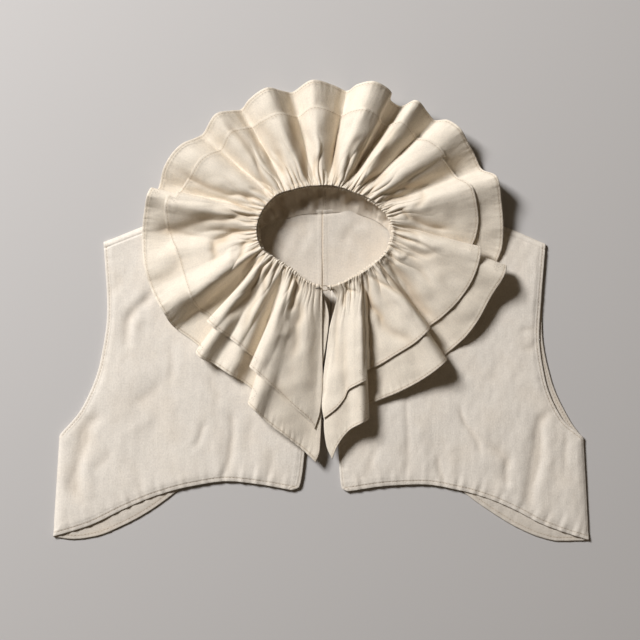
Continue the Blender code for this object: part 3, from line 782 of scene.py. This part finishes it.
def pucker(run, away, strength, reach, pitch, seed):
    """Small uneven ripples, about pitch apart, that a row of stitches draws up across a hem."""
    turn = run * math.tau / pitch
    wave = np.sin(turn + 1.8 * np.sin(run / 23.0 + seed)) + 0.5 * np.sin(turn * 1.7 + seed)
    wave *= 0.45 + 0.55 * np.sin(run / 31.0 + 2.0 * seed) ** 2
    return strength * wave * np.exp(-((away - 3.0) / reach) ** 2)


PANEL_GRID = {"front": (172, 144), "back": (124, 104)}    # columns and rows
EDGE_SAMPLES = 90
BEDDING = 1.15           # how far a front floats over the back, to leave its creases room


class Panel:
    """One panel of the bodice: its edges, and how high its underside lies at any place."""

    def __init__(self, name, edges, creases, seed, hemmed):
        sizes = bpy.context.scene.bodice_sizes
        self.name, self.edges, self.creases, self.seed = name, edges, creases, seed
        self.front = name.startswith("front")
        self.lift = FRONT_LIFT if self.front else 0.0
        self.hem_width = sizes.hem_width / MM
        shares = np.linspace(0, 1, EDGE_SAMPLES)
        self.lines = {key: outline(edges[key])(shares) for key in edges}
        self.hemmed = hemmed

    def width_of(self, key):
        return self.hem_width * (1.0 if key == "hem" else 0.72)

    def height(self, x, y):
        """Height of the underside in mm, and how much painted shade each place gets."""
        z = np.full_like(x, self.lift)
        quiet = np.ones_like(x)
        strong = 1.0 if self.front else 0.45
        trough = np.zeros_like(x)
        for key in self.hemmed:
            away, run = off_line(x, y, self.lines[key])
            strength, reach, pitch = (0.42, 10.0, 11.0) if key == "hem" else (0.14, 5.0, 9.0)
            z += hem_profile(away, self.width_of(key)) * strong
            ripple = pucker(run, away, strength, reach, pitch, self.seed)
            z += np.maximum(ripple * strong, -0.35)
            quiet = np.minimum(quiet, smooth(away / 8.0))
            # Painted shade along the dent of each hem's stitches.
            trough += 0.35 * np.exp(-((away - self.width_of(key) + 1.0) / 0.8) ** 2)
        swell = 0.50 * drift(x, y, 66.0, self.seed) + 0.17 * drift(x, y, 27.0, self.seed + 10)
        swell += 0.09 * drift(x * 1.5, y * 0.7, 14.0, self.seed + 20)
        creases = crease_height(x, y, self.creases)
        # Painted shade in the crease hollows and the low parts of the swell.
        trough += 0.15 * np.clip(-creases, 0, None) - 0.07 * swell
        crumple = creases * 0.85 + swell
        if self.front:
            shoulder_away, _ = off_line(x, y, self.lines["shoulder"])
            side_away, _ = off_line(x, y, self.lines["side"])
            rolled = np.minimum(shoulder_away, side_away)
            z -= 0.9 * np.exp(-(rolled / 1.6) ** 2)
            z -= 0.5 * np.exp(-((shoulder_away - 5.2) / 0.8) ** 2)
            quiet = np.minimum(quiet, smooth(rolled / 7.0))
            z += np.maximum(0.2 + BEDDING * quiet + crumple * (0.2 + 0.8 * quiet), -0.15)
        else:
            z += np.maximum(0.5 * quiet + 0.8 * crumple * (0.2 + 0.8 * quiet), 0.0)
            seam_away = np.abs(x - CENTRE_BACK)
            z += 0.16 * smooth((4.4 - seam_away) / 0.8) - 0.34 * np.exp(-(seam_away / 0.6) ** 2)
            # The back seam's own dark line, with painted shade in its dent.
            trough += 0.9 * np.exp(-(seam_away / 0.7) ** 2)
            z = np.maximum(z, 0.0)
        return z, trough


CENTRE_BACK = 1.1        # x of the seam down the middle of the back


def make_panel(panel):
    """A panel's cloth, stretched between its edges, with its hems and creases."""
    sizes = bpy.context.scene.bodice_sizes
    edges = panel.edges
    columns, rows = PANEL_GRID["front" if panel.front else "back"]
    mesh, u, v = unit_grid(panel.name + "_cloth", columns, rows)
    u, v = near_edges(u, 0.04, 0.1), near_edges(v, 0.035, 0.1)
    bottom = outline(edges["hem"])
    top = joined(outline(edges["shoulder"]), outline(edges["neck"]), 0.64)
    outer = joined(outline(edges["side"]), outline(edges["armhole"]), 0.3)
    inner = outline(edges["front"])
    u2, v2 = u[:, None], v[:, None]
    corners = ((1 - u2) * (1 - v2) * bottom(0.0) + u2 * (1 - v2) * bottom(1.0)
               + (1 - u2) * v2 * top(0.0) + u2 * v2 * top(1.0))
    plan = ((1 - v2) * bottom(u) + v2 * top(u) + (1 - u2) * outer(v) + u2 * inner(v) - corners)
    x, y = plan[:, 0], plan[:, 1]
    z, trough = panel.height(x, y)
    set_points(mesh, np.stack((x, y, z), axis=-1))
    set_cloth(mesh, x + panel.seed * 61.0, y, trough)
    face_up(mesh)
    # The back takes the darker muslin: painted shade, the same cloth as the fronts.
    piece = add_piece(mesh, muslin("cloth" if panel.front else "back"), [panel.name],
                      sizes.panel_cloth)
    laid.add(np.stack((x, y, z + sizes.panel_cloth / MM), axis=-1), spread=4)
    return piece


def uneven_marks(count, seed, low, high):
    """Uneven places from 0 to 1, with a length and a strength for each gap between them."""
    draw = np.random.default_rng(seed)
    gaps = draw.uniform(0.5, 1.7, count)
    marks = np.concatenate(([0.0], np.cumsum(gaps))) / gaps.sum()
    return marks, draw.uniform(low, high, count), draw.uniform(0.5, 1.15, count)


rim_samples = np.linspace(CASING_ENDS[0], CASING_ENDS[1] + 3.0, 720)
rim_places = about_neck(rim_samples, rim_radius(rim_samples) + CASING_WIDTH)
rim_run = np.concatenate(([0.0], np.cumsum(np.linalg.norm(np.diff(rim_places, axis=0), axis=1))))


def along_rim(angle):
    """Distance along the casing's outer edge, from the wearer's left front end."""
    return np.interp(angle, rim_samples, rim_run)


def puffs(run, marks, sharp):
    """0 at each mark and 1 between them, and the index of the gap."""
    share = np.clip(run / rim_run[-1], 0, 1)
    index = np.clip(np.searchsorted(marks, share, side="right") - 1, 0, len(marks) - 2)
    phase = (share - marks[index]) / (marks[index + 1] - marks[index])
    return np.clip(np.sin(np.clip(phase, 0, 1) * math.pi), 0, 1) ** sharp, index


def fine_gathers(angle, away, sizes):
    """The fine gathers of the casing, dying away within a few millimetres."""
    marks, lengths, strengths = uneven_marks(sizes.gathers, 11, 3.2, 7.5)
    puff, index = puffs(along_rim(angle), marks, 0.6)
    calm = np.clip(0.3 + liveliness(angle), 0.5, 1.0)
    return calm * strengths[index] * puff * np.exp(-away / (calm * lengths[index]))


liveliness = curve([-90, -72, -50, -20, 20, 90, 150, 195, 226, 248, 270],
                   [0.34, 0.40, 0.60, 0.95, 1.1, 1.35, 1.35, 1.3, 0.85, 0.30, 0.22])


def gathered_folds(angle, away, sizes, seed):
    """Wider folds that the gathers run into, and how much painted shade each place gets, most in
    the hollow between two of them.
    """
    marks, lengths, strengths = uneven_marks(sizes.folds, seed, 10.0, 36.0)
    run = along_rim(angle)
    run = run + 1.3 * np.sin(away / 7.0 + run / 11.0) * smooth(away / 10.0)
    puff, index = puffs(run, marks, 0.55)
    reach = (0.22 + 0.78 * (1 - np.exp(-away / 5.0))) * np.exp(-(away / lengths[index]) ** 1.4)
    lively = liveliness(angle)
    return (sizes.fold_height / MM * lively * strengths[index] * puff * reach,
            np.clip(lively, 0, 1) * (1 - puff) ** 1.5 * np.exp(-(away / lengths[index]) ** 1.4))


def pleat_height(angle, away, sizes, seed):
    """Narrow troughs that start in the gathers and open out as they run towards the hem."""
    draw = np.random.default_rng(seed)
    run = along_rim(angle)
    total = np.zeros_like(run)
    spots = (np.arange(sizes.pleats) + draw.uniform(-0.32, 0.32, sizes.pleats) + 0.5) / sizes.pleats
    for spot in spots * rim_run[-1]:
        length = draw.choice([18.0, 28.0, 42.0, 66.0], p=[0.3, 0.3, 0.25, 0.15])
        length *= draw.uniform(0.8, 1.2)
        depth = sizes.pleat_depth / MM * draw.uniform(0.35, 1.0)
        sway = draw.uniform(-0.06, 0.06)
        width = 0.75 + 0.028 * away
        side = (run - spot - sway * away) / width
        reach = (1 - np.exp(-away / 2.5)) * smooth(1.0 - away / length) ** 0.8
        total += depth * reach * (0.45 * np.exp(-((side - 2.0) / 1.3) ** 2) - np.exp(-side * side))
    return total * liveliness(angle)


TIER_COLUMNS = 1300      # grid columns round a whole tier
TIER_ROWS = 69
SAMPLE_COLUMNS = 2400    # places round a tier that go into the height map
SAMPLE_ROWS = 220
UNDER_CASING = 14.6      # height of the long tier where it leaves the casing
OVER_CASING = RIM_HEIGHT + CASING_DEPTH / 2 - 0.1     # the short tier starts on the casing
JOIN_FOOT = 85           # the long fold behind the neck where a tier's two lengths are joined
EDGE_REACH = 34.0        # how far round the hem the curve of a front edge is felt


def tier_rows(v):
    """Rows of the grid, close together in the gathers and in the hem."""
    return np.interp(v, [0, 0.24, 0.88, 1.0], [0, 0.13, 0.955, 1.0])


class Tier:
    """One tier of the ruff, falling from the casing in the folds of its table."""

    def __init__(self, name, folds, bows, start, inset, seed):
        self.name, self.start, self.inset, self.seed = name, start, inset, seed
        self.sizes = bpy.context.scene.bodice_sizes
        self.hem_width = self.sizes.ruff_hem_width / MM
        hems = about_neck(np.array([f.angle for f in folds]), np.array([f.reach for f in folds]))
        heights = np.array([float(f.height) for f in folds])
        steps = np.sqrt((np.diff(hems, axis=0) ** 2).sum(axis=1) + np.diff(heights) ** 2)
        marks = np.concatenate(([0.0], np.cumsum(steps)))
        self.length = marks[-1]
        self.join = marks[[f.foot for f in folds].index(JOIN_FOOT)] / self.length
        self.foot = curve(marks, [f.foot for f in folds])
        self.hem = [curve(marks, row, overshoot=True) for row in (hems[:, 0], hems[:, 1], heights)]
        self.bows = [curve([b.depth for b in bow], [b.sideways for b in bow]) for bow in bows]

    def surface(self, u, depth):
        """Points of the underside, where they are in the flat cloth and how much painted shade they
        get.
        """
        run = u * self.length
        foot = self.foot(run)
        top = about_neck(foot, rim_radius(foot) + self.inset)
        hem = np.stack((self.hem[0](run), self.hem[1](run)), axis=-1)
        hem_z = self.hem[2](run)
        plan = top + (hem - top) * depth[:, None]
        length = np.linalg.norm(hem - top, axis=1)
        away = depth * length
        plan[:, 0] += self.bows[0](depth) * smooth(1 - run / EDGE_REACH)
        plan[:, 0] += self.bows[1](depth) * smooth(1 - (self.length - run) / EDGE_REACH)
        low = np.clip((self.start + 2.0 - hem_z) / 12.0, 0, 1)
        fall = depth * (1 - low) + (1 - (1 - depth) ** 2.8) * low
        z = self.start + (hem_z - self.start) * fall
        z += 3.2 * (1 - low) * np.sin(np.pi * depth ** 1.15) * smooth(length / 80.0)
        z -= 1.1 * smooth(away / 5.0) * (1 - depth)
        fine = fine_gathers(foot, away, self.sizes)
        folds, between = gathered_folds(foot, away, self.sizes, 29)
        pleats = pleat_height(foot, away, self.sizes, 5)
        x, y = plan[:, 0], plan[:, 1]
        creases = crease_height(x, y, TIER_CREASES) * smooth(away / 4.0)
        z += self.sizes.gather_height / MM * fine + folds + pleats + creases
        # Painted shade: darker between the gathered folds, in the pleats and creases, in the
        # hollows of the fine gathers by the casing and along the hem's stitch dent.
        trough = 0.7 * between + 0.30 * np.clip(-pleats - creases, 0, None)
        trough += np.exp(-away / 4.5) * (0.8 - fine)
        z += (0.42 * drift(x, y, 30.0, 5) + 0.28 * drift(x, y, 15.0, 6)) * smooth(depth * 2)
        off_hem = (1 - depth) * length
        trough += 0.45 * np.exp(-((off_hem - self.hem_width + 1.0) / 0.7) ** 2)
        z += hem_profile(off_hem, self.hem_width) * 0.75
        z += pucker(run, off_hem, 0.16, 5.0, 6.5, self.seed)
        side = np.minimum(run, self.length - run) * (0.35 + 0.65 * depth)
        z += 0.5 * hem_profile(side, self.hem_width)
        z = rest_on(z, laid.read(x, y) + CLEARANCE)
        return np.column_stack((plan, z)), run, away, trough


CLEARANCE = 0.5          # between a tier and what it lies on


def make_tier(tier):
    """A tier's two lengths of cloth, joined behind the neck."""
    sizes = bpy.context.scene.bodice_sizes
    pieces = []
    for side, low, high in (("right", 0.0, tier.join), ("left", tier.join, 1.0)):
        columns = int(TIER_COLUMNS * (high - low))
        mesh, u, v = unit_grid(f"{tier.name}_{side}", columns, TIER_ROWS)
        points, run, away, trough = tier.surface(low + (high - low) * u, tier_rows(v))
        set_points(mesh, points)
        set_cloth(mesh, run * 1.15 + tier.seed * 47.0, -away, trough)
        face_up(mesh)
        pieces.append(add_piece(mesh, muslin("ruff"), [tier.name], sizes.ruff_cloth))
    dense_u, dense_d = np.meshgrid(np.linspace(0, 1, SAMPLE_COLUMNS),
                                   np.linspace(0, 1, SAMPLE_ROWS))
    dense, _, _, _ = tier.surface(dense_u.ravel(), dense_d.ravel())
    dense[:, 2] += sizes.ruff_cloth / MM
    laid.add(dense, spread=2)
    return pieces


def stand_surface(angle, v):
    """Points of the stand between the neck seam (v = 0) and the casing (v = 1)."""
    foot = np.stack((seam_x(angle), seam_y(angle)), axis=-1)
    top = about_neck(angle, rim_radius(angle) + CASING_WIDTH / 2 + 0.4)
    in_front = smooth((82.0 - foot[:, 1]) / 9.0)
    foot_z = 0.7 + (FRONT_LIFT + 1.2) * in_front
    top_z = RIM_HEIGHT - CASING_DEPTH / 2 + 1.4
    plan = foot + (top - foot) * v[:, None]
    run = along_rim(angle)
    soft = 0.62 * np.sin(run / 1.9 + 1.6 * np.sin(run / 9.0)) + 0.3 * np.sin(run / 0.95 + 2.0)
    soft *= 0.15 + 0.85 * v
    soft += 5.0 * v * (1 - v) * np.sin(run / 2.9 + 1.7 * np.sin(run / 13.0))
    soft += 2.2 * drift(run, v * 20.0, 13.0, 8) * np.sin(np.pi * np.clip(v, 0, 1))
    soft -= 0.5 * np.exp(-((run - STAND_SEAM) / 0.7) ** 2)
    outward = about_neck(angle, 1.0) - np.array(NECK_CENTRE)
    plan = plan + outward * (1.2 * np.sin(np.pi * v) - 0.5 * soft)[:, None]
    z = foot_z + (top_z - foot_z) * (0.35 * v + 0.65 * v ** 2.6) + 0.5 * soft
    return np.column_stack((plan, z)), run


STAND_SEAM = along_rim(90.6)     # the back seam carried up the stand
STAND_GRID = (700, 26)           # columns round the stand and rows up it
STAND_DEPTH = 26.0               # the stand's flat depth, for its weave


def make_stand():
    """The gathered band between neck seam and casing, with soft upright pleats inside."""
    sizes = bpy.context.scene.bodice_sizes
    mesh, u, v = unit_grid("neck_stand_cloth", *STAND_GRID)
    points, run = stand_surface(STAND_ENDS[0] + (STAND_ENDS[1] - STAND_ENDS[0]) * u, v)
    set_points(mesh, points)
    # Painted shade over the whole stand, darkest up by the casing, under which it lies in shade.
    set_cloth(mesh, run * 1.6, v * STAND_DEPTH, 0.25 + 0.5 * v)
    face_up(mesh)
    # The stand takes the back's darker muslin: painted shade.
    return add_piece(mesh, muslin("back"), ["neck_stand"], sizes.ruff_cloth, 0.0)


CASING_STATIONS = 1150   # rings along the casing
CASING_SIDES = 14


def make_casing():
    """The ruched casing: an oval tube round the rim, puffed out between its gathers."""
    sizes = bpy.context.scene.bodice_sizes
    shape = bmesh.new()
    bmesh.ops.create_cone(shape, cap_ends=True, segments=CASING_SIDES, radius1=0.5, radius2=0.5,
                          depth=1.0)
    long_edges = [e for e in shape.edges if abs(e.verts[0].co.z - e.verts[1].co.z) > 0.5]
    bmesh.ops.subdivide_edges(shape, edges=long_edges, cuts=CASING_STATIONS - 1)
    mesh = bpy.data.meshes.new("neck_casing_cloth")
    shape.to_mesh(mesh)
    shape.free()
    places = np.empty(len(mesh.vertices) * 3)
    mesh.vertices.foreach_get("co", places)
    places = places.reshape(-1, 3)
    angle = CASING_ENDS[0] + (CASING_ENDS[1] - CASING_ENDS[0]) * (places[:, 2] + 0.5)
    puff = fine_gathers(angle, np.zeros_like(angle), sizes)
    around = np.arctan2(places[:, 1], places[:, 0])
    end = np.minimum(angle - CASING_ENDS[0], CASING_ENDS[1] - angle)
    size = (0.55 + 0.57 * puff) * (0.55 + 0.45 * smooth(end / 2.0))
    size += 0.05 * np.sin(along_rim(angle) / 6.0 + 2 * np.sin(around))
    twist = 0.5 * np.sin(along_rim(angle) / 2.1 + np.cos(around) * 1.2)
    radius = rim_radius(angle) + CASING_WIDTH / 2 + CASING_WIDTH * places[:, 0] * size
    radius += 0.35 * np.sin(along_rim(angle) / 7.0) - 1.9 * places[:, 1] * size
    plan = about_neck(angle + twist * 0.35 * np.cos(around), radius)
    z = RIM_HEIGHT + 0.3 + CASING_DEPTH * places[:, 1] * size
    set_points(mesh, np.column_stack((plan, z)))
    # Painted shade in the hollows between the casing's puffs.
    set_cloth(mesh, along_rim(angle) * 2.0, np.cos(around) * 6.0, 0.7 - puff)
    shape = bmesh.new()
    shape.from_mesh(mesh)
    bmesh.ops.recalc_face_normals(shape, faces=shape.faces)
    shape.to_mesh(mesh)
    shape.free()
    return add_piece(mesh, muslin("ruff"), ["neck_casing"])


STITCH_PITCH = 3.0       # from the middle of one stitch to the next


def sew(shape, line, sizes):
    """Adds a row of stitches along a line of points, in mm."""
    steps = np.linalg.norm(np.diff(line, axis=0), axis=1)
    runs = np.concatenate(([0.0], np.cumsum(steps)))
    half = sizes.stitch_length / MM / 2
    for middle in np.arange(half, runs[-1] - half, STITCH_PITCH):
        ends = [Vector([np.interp(middle + side * half, runs, line[:, k]) for k in range(3)])
                for side in (-1, 1)]
        span = ends[1] - ends[0]
        centre = (ends[0] + ends[1]) / 2 + Vector((*SHIFT, 0.05))
        turn = span.to_track_quat("Z", "Y").to_matrix().to_4x4()
        radius = sizes.thread_width / 2
        bmesh.ops.create_cone(shape, cap_ends=True, segments=6, radius1=radius, radius2=radius,
                              depth=span.length * MM,
                              matrix=Matrix.Translation(centre * MM) @ turn)


def hem_line(panel, key, inside):
    """Points on top of a panel, a set distance inside one of its edges."""
    sizes = bpy.context.scene.bodice_sizes
    edge = outline(panel.edges[key])(np.linspace(0.01, 0.99, 260))
    tangent = np.gradient(edge, axis=0)
    normal = np.stack((-tangent[:, 1], tangent[:, 0]), axis=-1)
    normal /= np.linalg.norm(normal, axis=1)[:, None]
    corners = np.concatenate([panel.lines[k] for k in panel.lines])
    if ((corners.mean(axis=0) - edge.mean(axis=0)) * normal.mean(axis=0)).sum() < 0:
        normal = -normal
    plan = edge + normal * inside
    z, _ = panel.height(plan[:, 0], plan[:, 1])
    return np.column_stack((plan, z + sizes.panel_cloth / MM))


def add_stitching(name, lines):
    """One piece with the stitches of all the given lines."""
    sizes = bpy.context.scene.bodice_sizes
    shape = bmesh.new()
    for line in lines:
        sew(shape, line, sizes)
    mesh = bpy.data.meshes.new(name)
    shape.to_mesh(mesh)
    shape.free()
    return add_piece(mesh, sewing_thread(), [])


# ---- operators ----

PANELS = {}              # the panels made, by name, for the stitching
TIERS = []               # the tiers made, for the stitching


class BODICE_OT_backs(bpy.types.Operator):
    """Make the two halves of the back"""
    bl_idname = "bodice.backs"
    bl_label = "Backs"

    def execute(self, context):
        for name, edges, seed in (("back_right", BACK_RIGHT, 3), ("back_left", BACK_LEFT, 4)):
            PANELS[name] = Panel(name, edges, BACK_CREASES, seed, ("hem", "armhole"))
            make_panel(PANELS[name])
        return {"FINISHED"}


class BODICE_OT_fronts(bpy.types.Operator):
    """Make the two fronts, lying on the back"""
    bl_idname = "bodice.fronts"
    bl_label = "Fronts"

    def execute(self, context):
        for name, edges, seed in (("front_right", FRONT_RIGHT, 1), ("front_left", FRONT_LEFT, 2)):
            PANELS[name] = Panel(name, edges, FRONT_CREASES, seed, ("hem", "armhole", "front"))
            make_panel(PANELS[name])
        return {"FINISHED"}


class BODICE_OT_neck(bpy.types.Operator):
    """Make the gathered stand and the ruched casing"""
    bl_idname = "bodice.neck"
    bl_label = "Neck"

    def execute(self, context):
        make_stand()
        make_casing()
        return {"FINISHED"}


class BODICE_OT_ruff(bpy.types.Operator):
    """Make the long tier and the short tier of the ruff"""
    bl_idname = "bodice.ruff"
    bl_label = "Ruff"

    def execute(self, context):
        tiers = (Tier("ruffle_lower", LONG_FOLDS, (LONG_RIGHT_BOW, LONG_LEFT_BOW),
                      UNDER_CASING, CASING_WIDTH - 1.2, 5),
                 Tier("ruffle_upper", SHORT_FOLDS, (SHORT_RIGHT_BOW, SHORT_LEFT_BOW),
                      OVER_CASING, CASING_WIDTH * 0.30, 6))
        for tier, depth, area in zip(tiers, (0.115, 0.085), (0.038, 0.025)):
            TIERS.append(tier)
            for piece in make_tier(tier):
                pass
        return {"FINISHED"}


class BODICE_OT_stitching(bpy.types.Operator):
    """Sew the hems and the seam down the back, and finish the loop and hook"""
    bl_idname = "bodice.stitching"
    bl_label = "Stitching"

    def execute(self, context):
        sizes = context.scene.bodice_sizes
        rows = []
        for panel in PANELS.values():
            for key in ("hem", "armhole"):
                rows.append(hem_line(panel, key, panel.width_of(key) - 1.0))
        across = np.linspace(-84, 86, 300)
        z, _ = PANELS["back_left"].height(np.full_like(across, CENTRE_BACK + 1.3), across)
        rows.append(np.column_stack((np.full_like(across, CENTRE_BACK + 1.3), across,
                                     z + sizes.panel_cloth / MM)))
        v = np.linspace(0.03, 0.92, 60)
        up, _ = stand_surface(np.full_like(v, 89.4), v)
        rows.append(up + np.array([0.0, -0.25, 0.35]))
        add_stitching("stitching_bodice", rows)
        rows = []
        for tier in TIERS:
            u = np.linspace(0.004, 0.996, 2200)
            _, _, away, _ = tier.surface(u, np.ones_like(u))
            line, _, _, _ = tier.surface(u, 1 - (tier.hem_width - 1.0) / away)
            line[:, 2] += sizes.ruff_cloth / MM
            rows.append(line)
        add_stitching("stitching_ruff", rows)
        for node, finish in (("neck_loop", sewing_thread()), ("neck_hook", hook_wire())):
            cad = frame["nodes"][node]
            cad.data.materials.clear()
            cad.data.materials.append(finish)
        return {"FINISHED"}


class BODICE_OT_stage(bpy.types.Operator):
    """Make the plain floor, the soft lights and the camera"""
    bl_idname = "bodice.stage"
    bl_label = "Stage"

    FLOOR_HALF = 9.0         # metres
    FLOOR_DROP = 0.0004
    WARM = (1.0, 0.78, 0.54)

    def execute(self, context):
        scene = context.scene
        stage = scene.bodice_stage
        shape = bmesh.new()
        bmesh.ops.create_grid(shape, x_segments=1, y_segments=1, size=self.FLOOR_HALF)
        mesh = bpy.data.meshes.new("floor")
        shape.to_mesh(mesh)
        shape.free()
        m = Maker("floor_paper")
        m.shader.inputs["Base Color"].default_value = scene.bodice_colours.floor
        m.shader.inputs["Roughness"].default_value = 0.9
        mesh.materials.append(m.material)
        floor = bpy.data.objects.new("floor", mesh)
        floor.location.z = -self.FLOOR_DROP
        scene.collection.objects.link(floor)

        middle = Vector((0.0, 0.0, 0.0))
        lights = (("key", (-1.66, 1.53, 1.69), 0.78, stage.key_power, (1.0, 1.0, 1.02)),
                  ("fill", (1.2, -0.9, 1.8), 1.6, stage.fill_power, self.WARM))
        for name, place, size, power, tint in lights:
            lamp = bpy.data.lights.new(name, "AREA")
            lamp.size = size
            lamp.energy = power
            lamp.color = tint
            light = bpy.data.objects.new(name, lamp)
            light.location = place
            light.rotation_euler = (middle - light.location).to_track_quat("-Z", "Y").to_euler()
            scene.collection.objects.link(light)

        world = scene.world or bpy.data.worlds.new("world")
        scene.world = world
        world.use_nodes = True
        sky = world.node_tree.nodes["Background"]
        sky.inputs["Color"].default_value = (*self.WARM, 1.0)
        sky.inputs["Strength"].default_value = 0.054

        camera = bpy.data.objects.new("camera", bpy.data.cameras.new("camera"))
        camera.data.lens = stage.lens
        camera.location = (-0.0011 + SHIFT[0] * MM, -0.0072 + SHIFT[1] * MM, stage.camera_height)
        scene.collection.objects.link(camera)
        scene.camera = camera
        scene.view_settings.view_transform = "Standard"
        return {"FINISHED"}


class BODICE_PT_panel(bpy.types.Panel):
    """Settings and steps of the bodice"""
    bl_label = "Ruff Bodice"
    bl_idname = "BODICE_PT_panel"
    bl_space_type = "VIEW_3D"
    bl_region_type = "UI"
    bl_category = "Ruff Bodice"

    def draw(self, context):
        scene = context.scene
        for group in (scene.bodice_sizes, scene.bodice_colours, scene.bodice_stage):
            box = self.layout.box()
            for key in group.bl_rna.properties.keys():
                if key not in ("rna_type", "name"):
                    box.prop(group, key)
        for step in STEPS:
            self.layout.operator(step)


STEPS = ("bodice.backs", "bodice.fronts", "bodice.neck", "bodice.ruff", "bodice.stitching",
         "bodice.stage")
GROUPS = (BodiceSizes, BodiceColours, StageSizes)
CLASSES = (*GROUPS, BODICE_OT_backs, BODICE_OT_fronts, BODICE_OT_neck, BODICE_OT_ruff,
           BODICE_OT_stitching, BODICE_OT_stage, BODICE_PT_panel)


def register():
    for item in CLASSES:
        bpy.utils.register_class(item)
    bpy.types.Scene.bodice_sizes = PointerProperty(type=BodiceSizes)
    bpy.types.Scene.bodice_colours = PointerProperty(type=BodiceColours)
    bpy.types.Scene.bodice_stage = PointerProperty(type=StageSizes)


def unregister():
    del bpy.types.Scene.bodice_stage
    del bpy.types.Scene.bodice_colours
    del bpy.types.Scene.bodice_sizes
    for item in reversed(CLASSES):
        bpy.utils.unregister_class(item)


def main():
    register()
    bpy.ops.bodice.backs()
    bpy.ops.bodice.fronts()
    bpy.ops.bodice.neck()
    bpy.ops.bodice.ruff()
    bpy.ops.bodice.stitching()
    bpy.ops.bodice.stage()


if __name__ == "__main__":
    main()
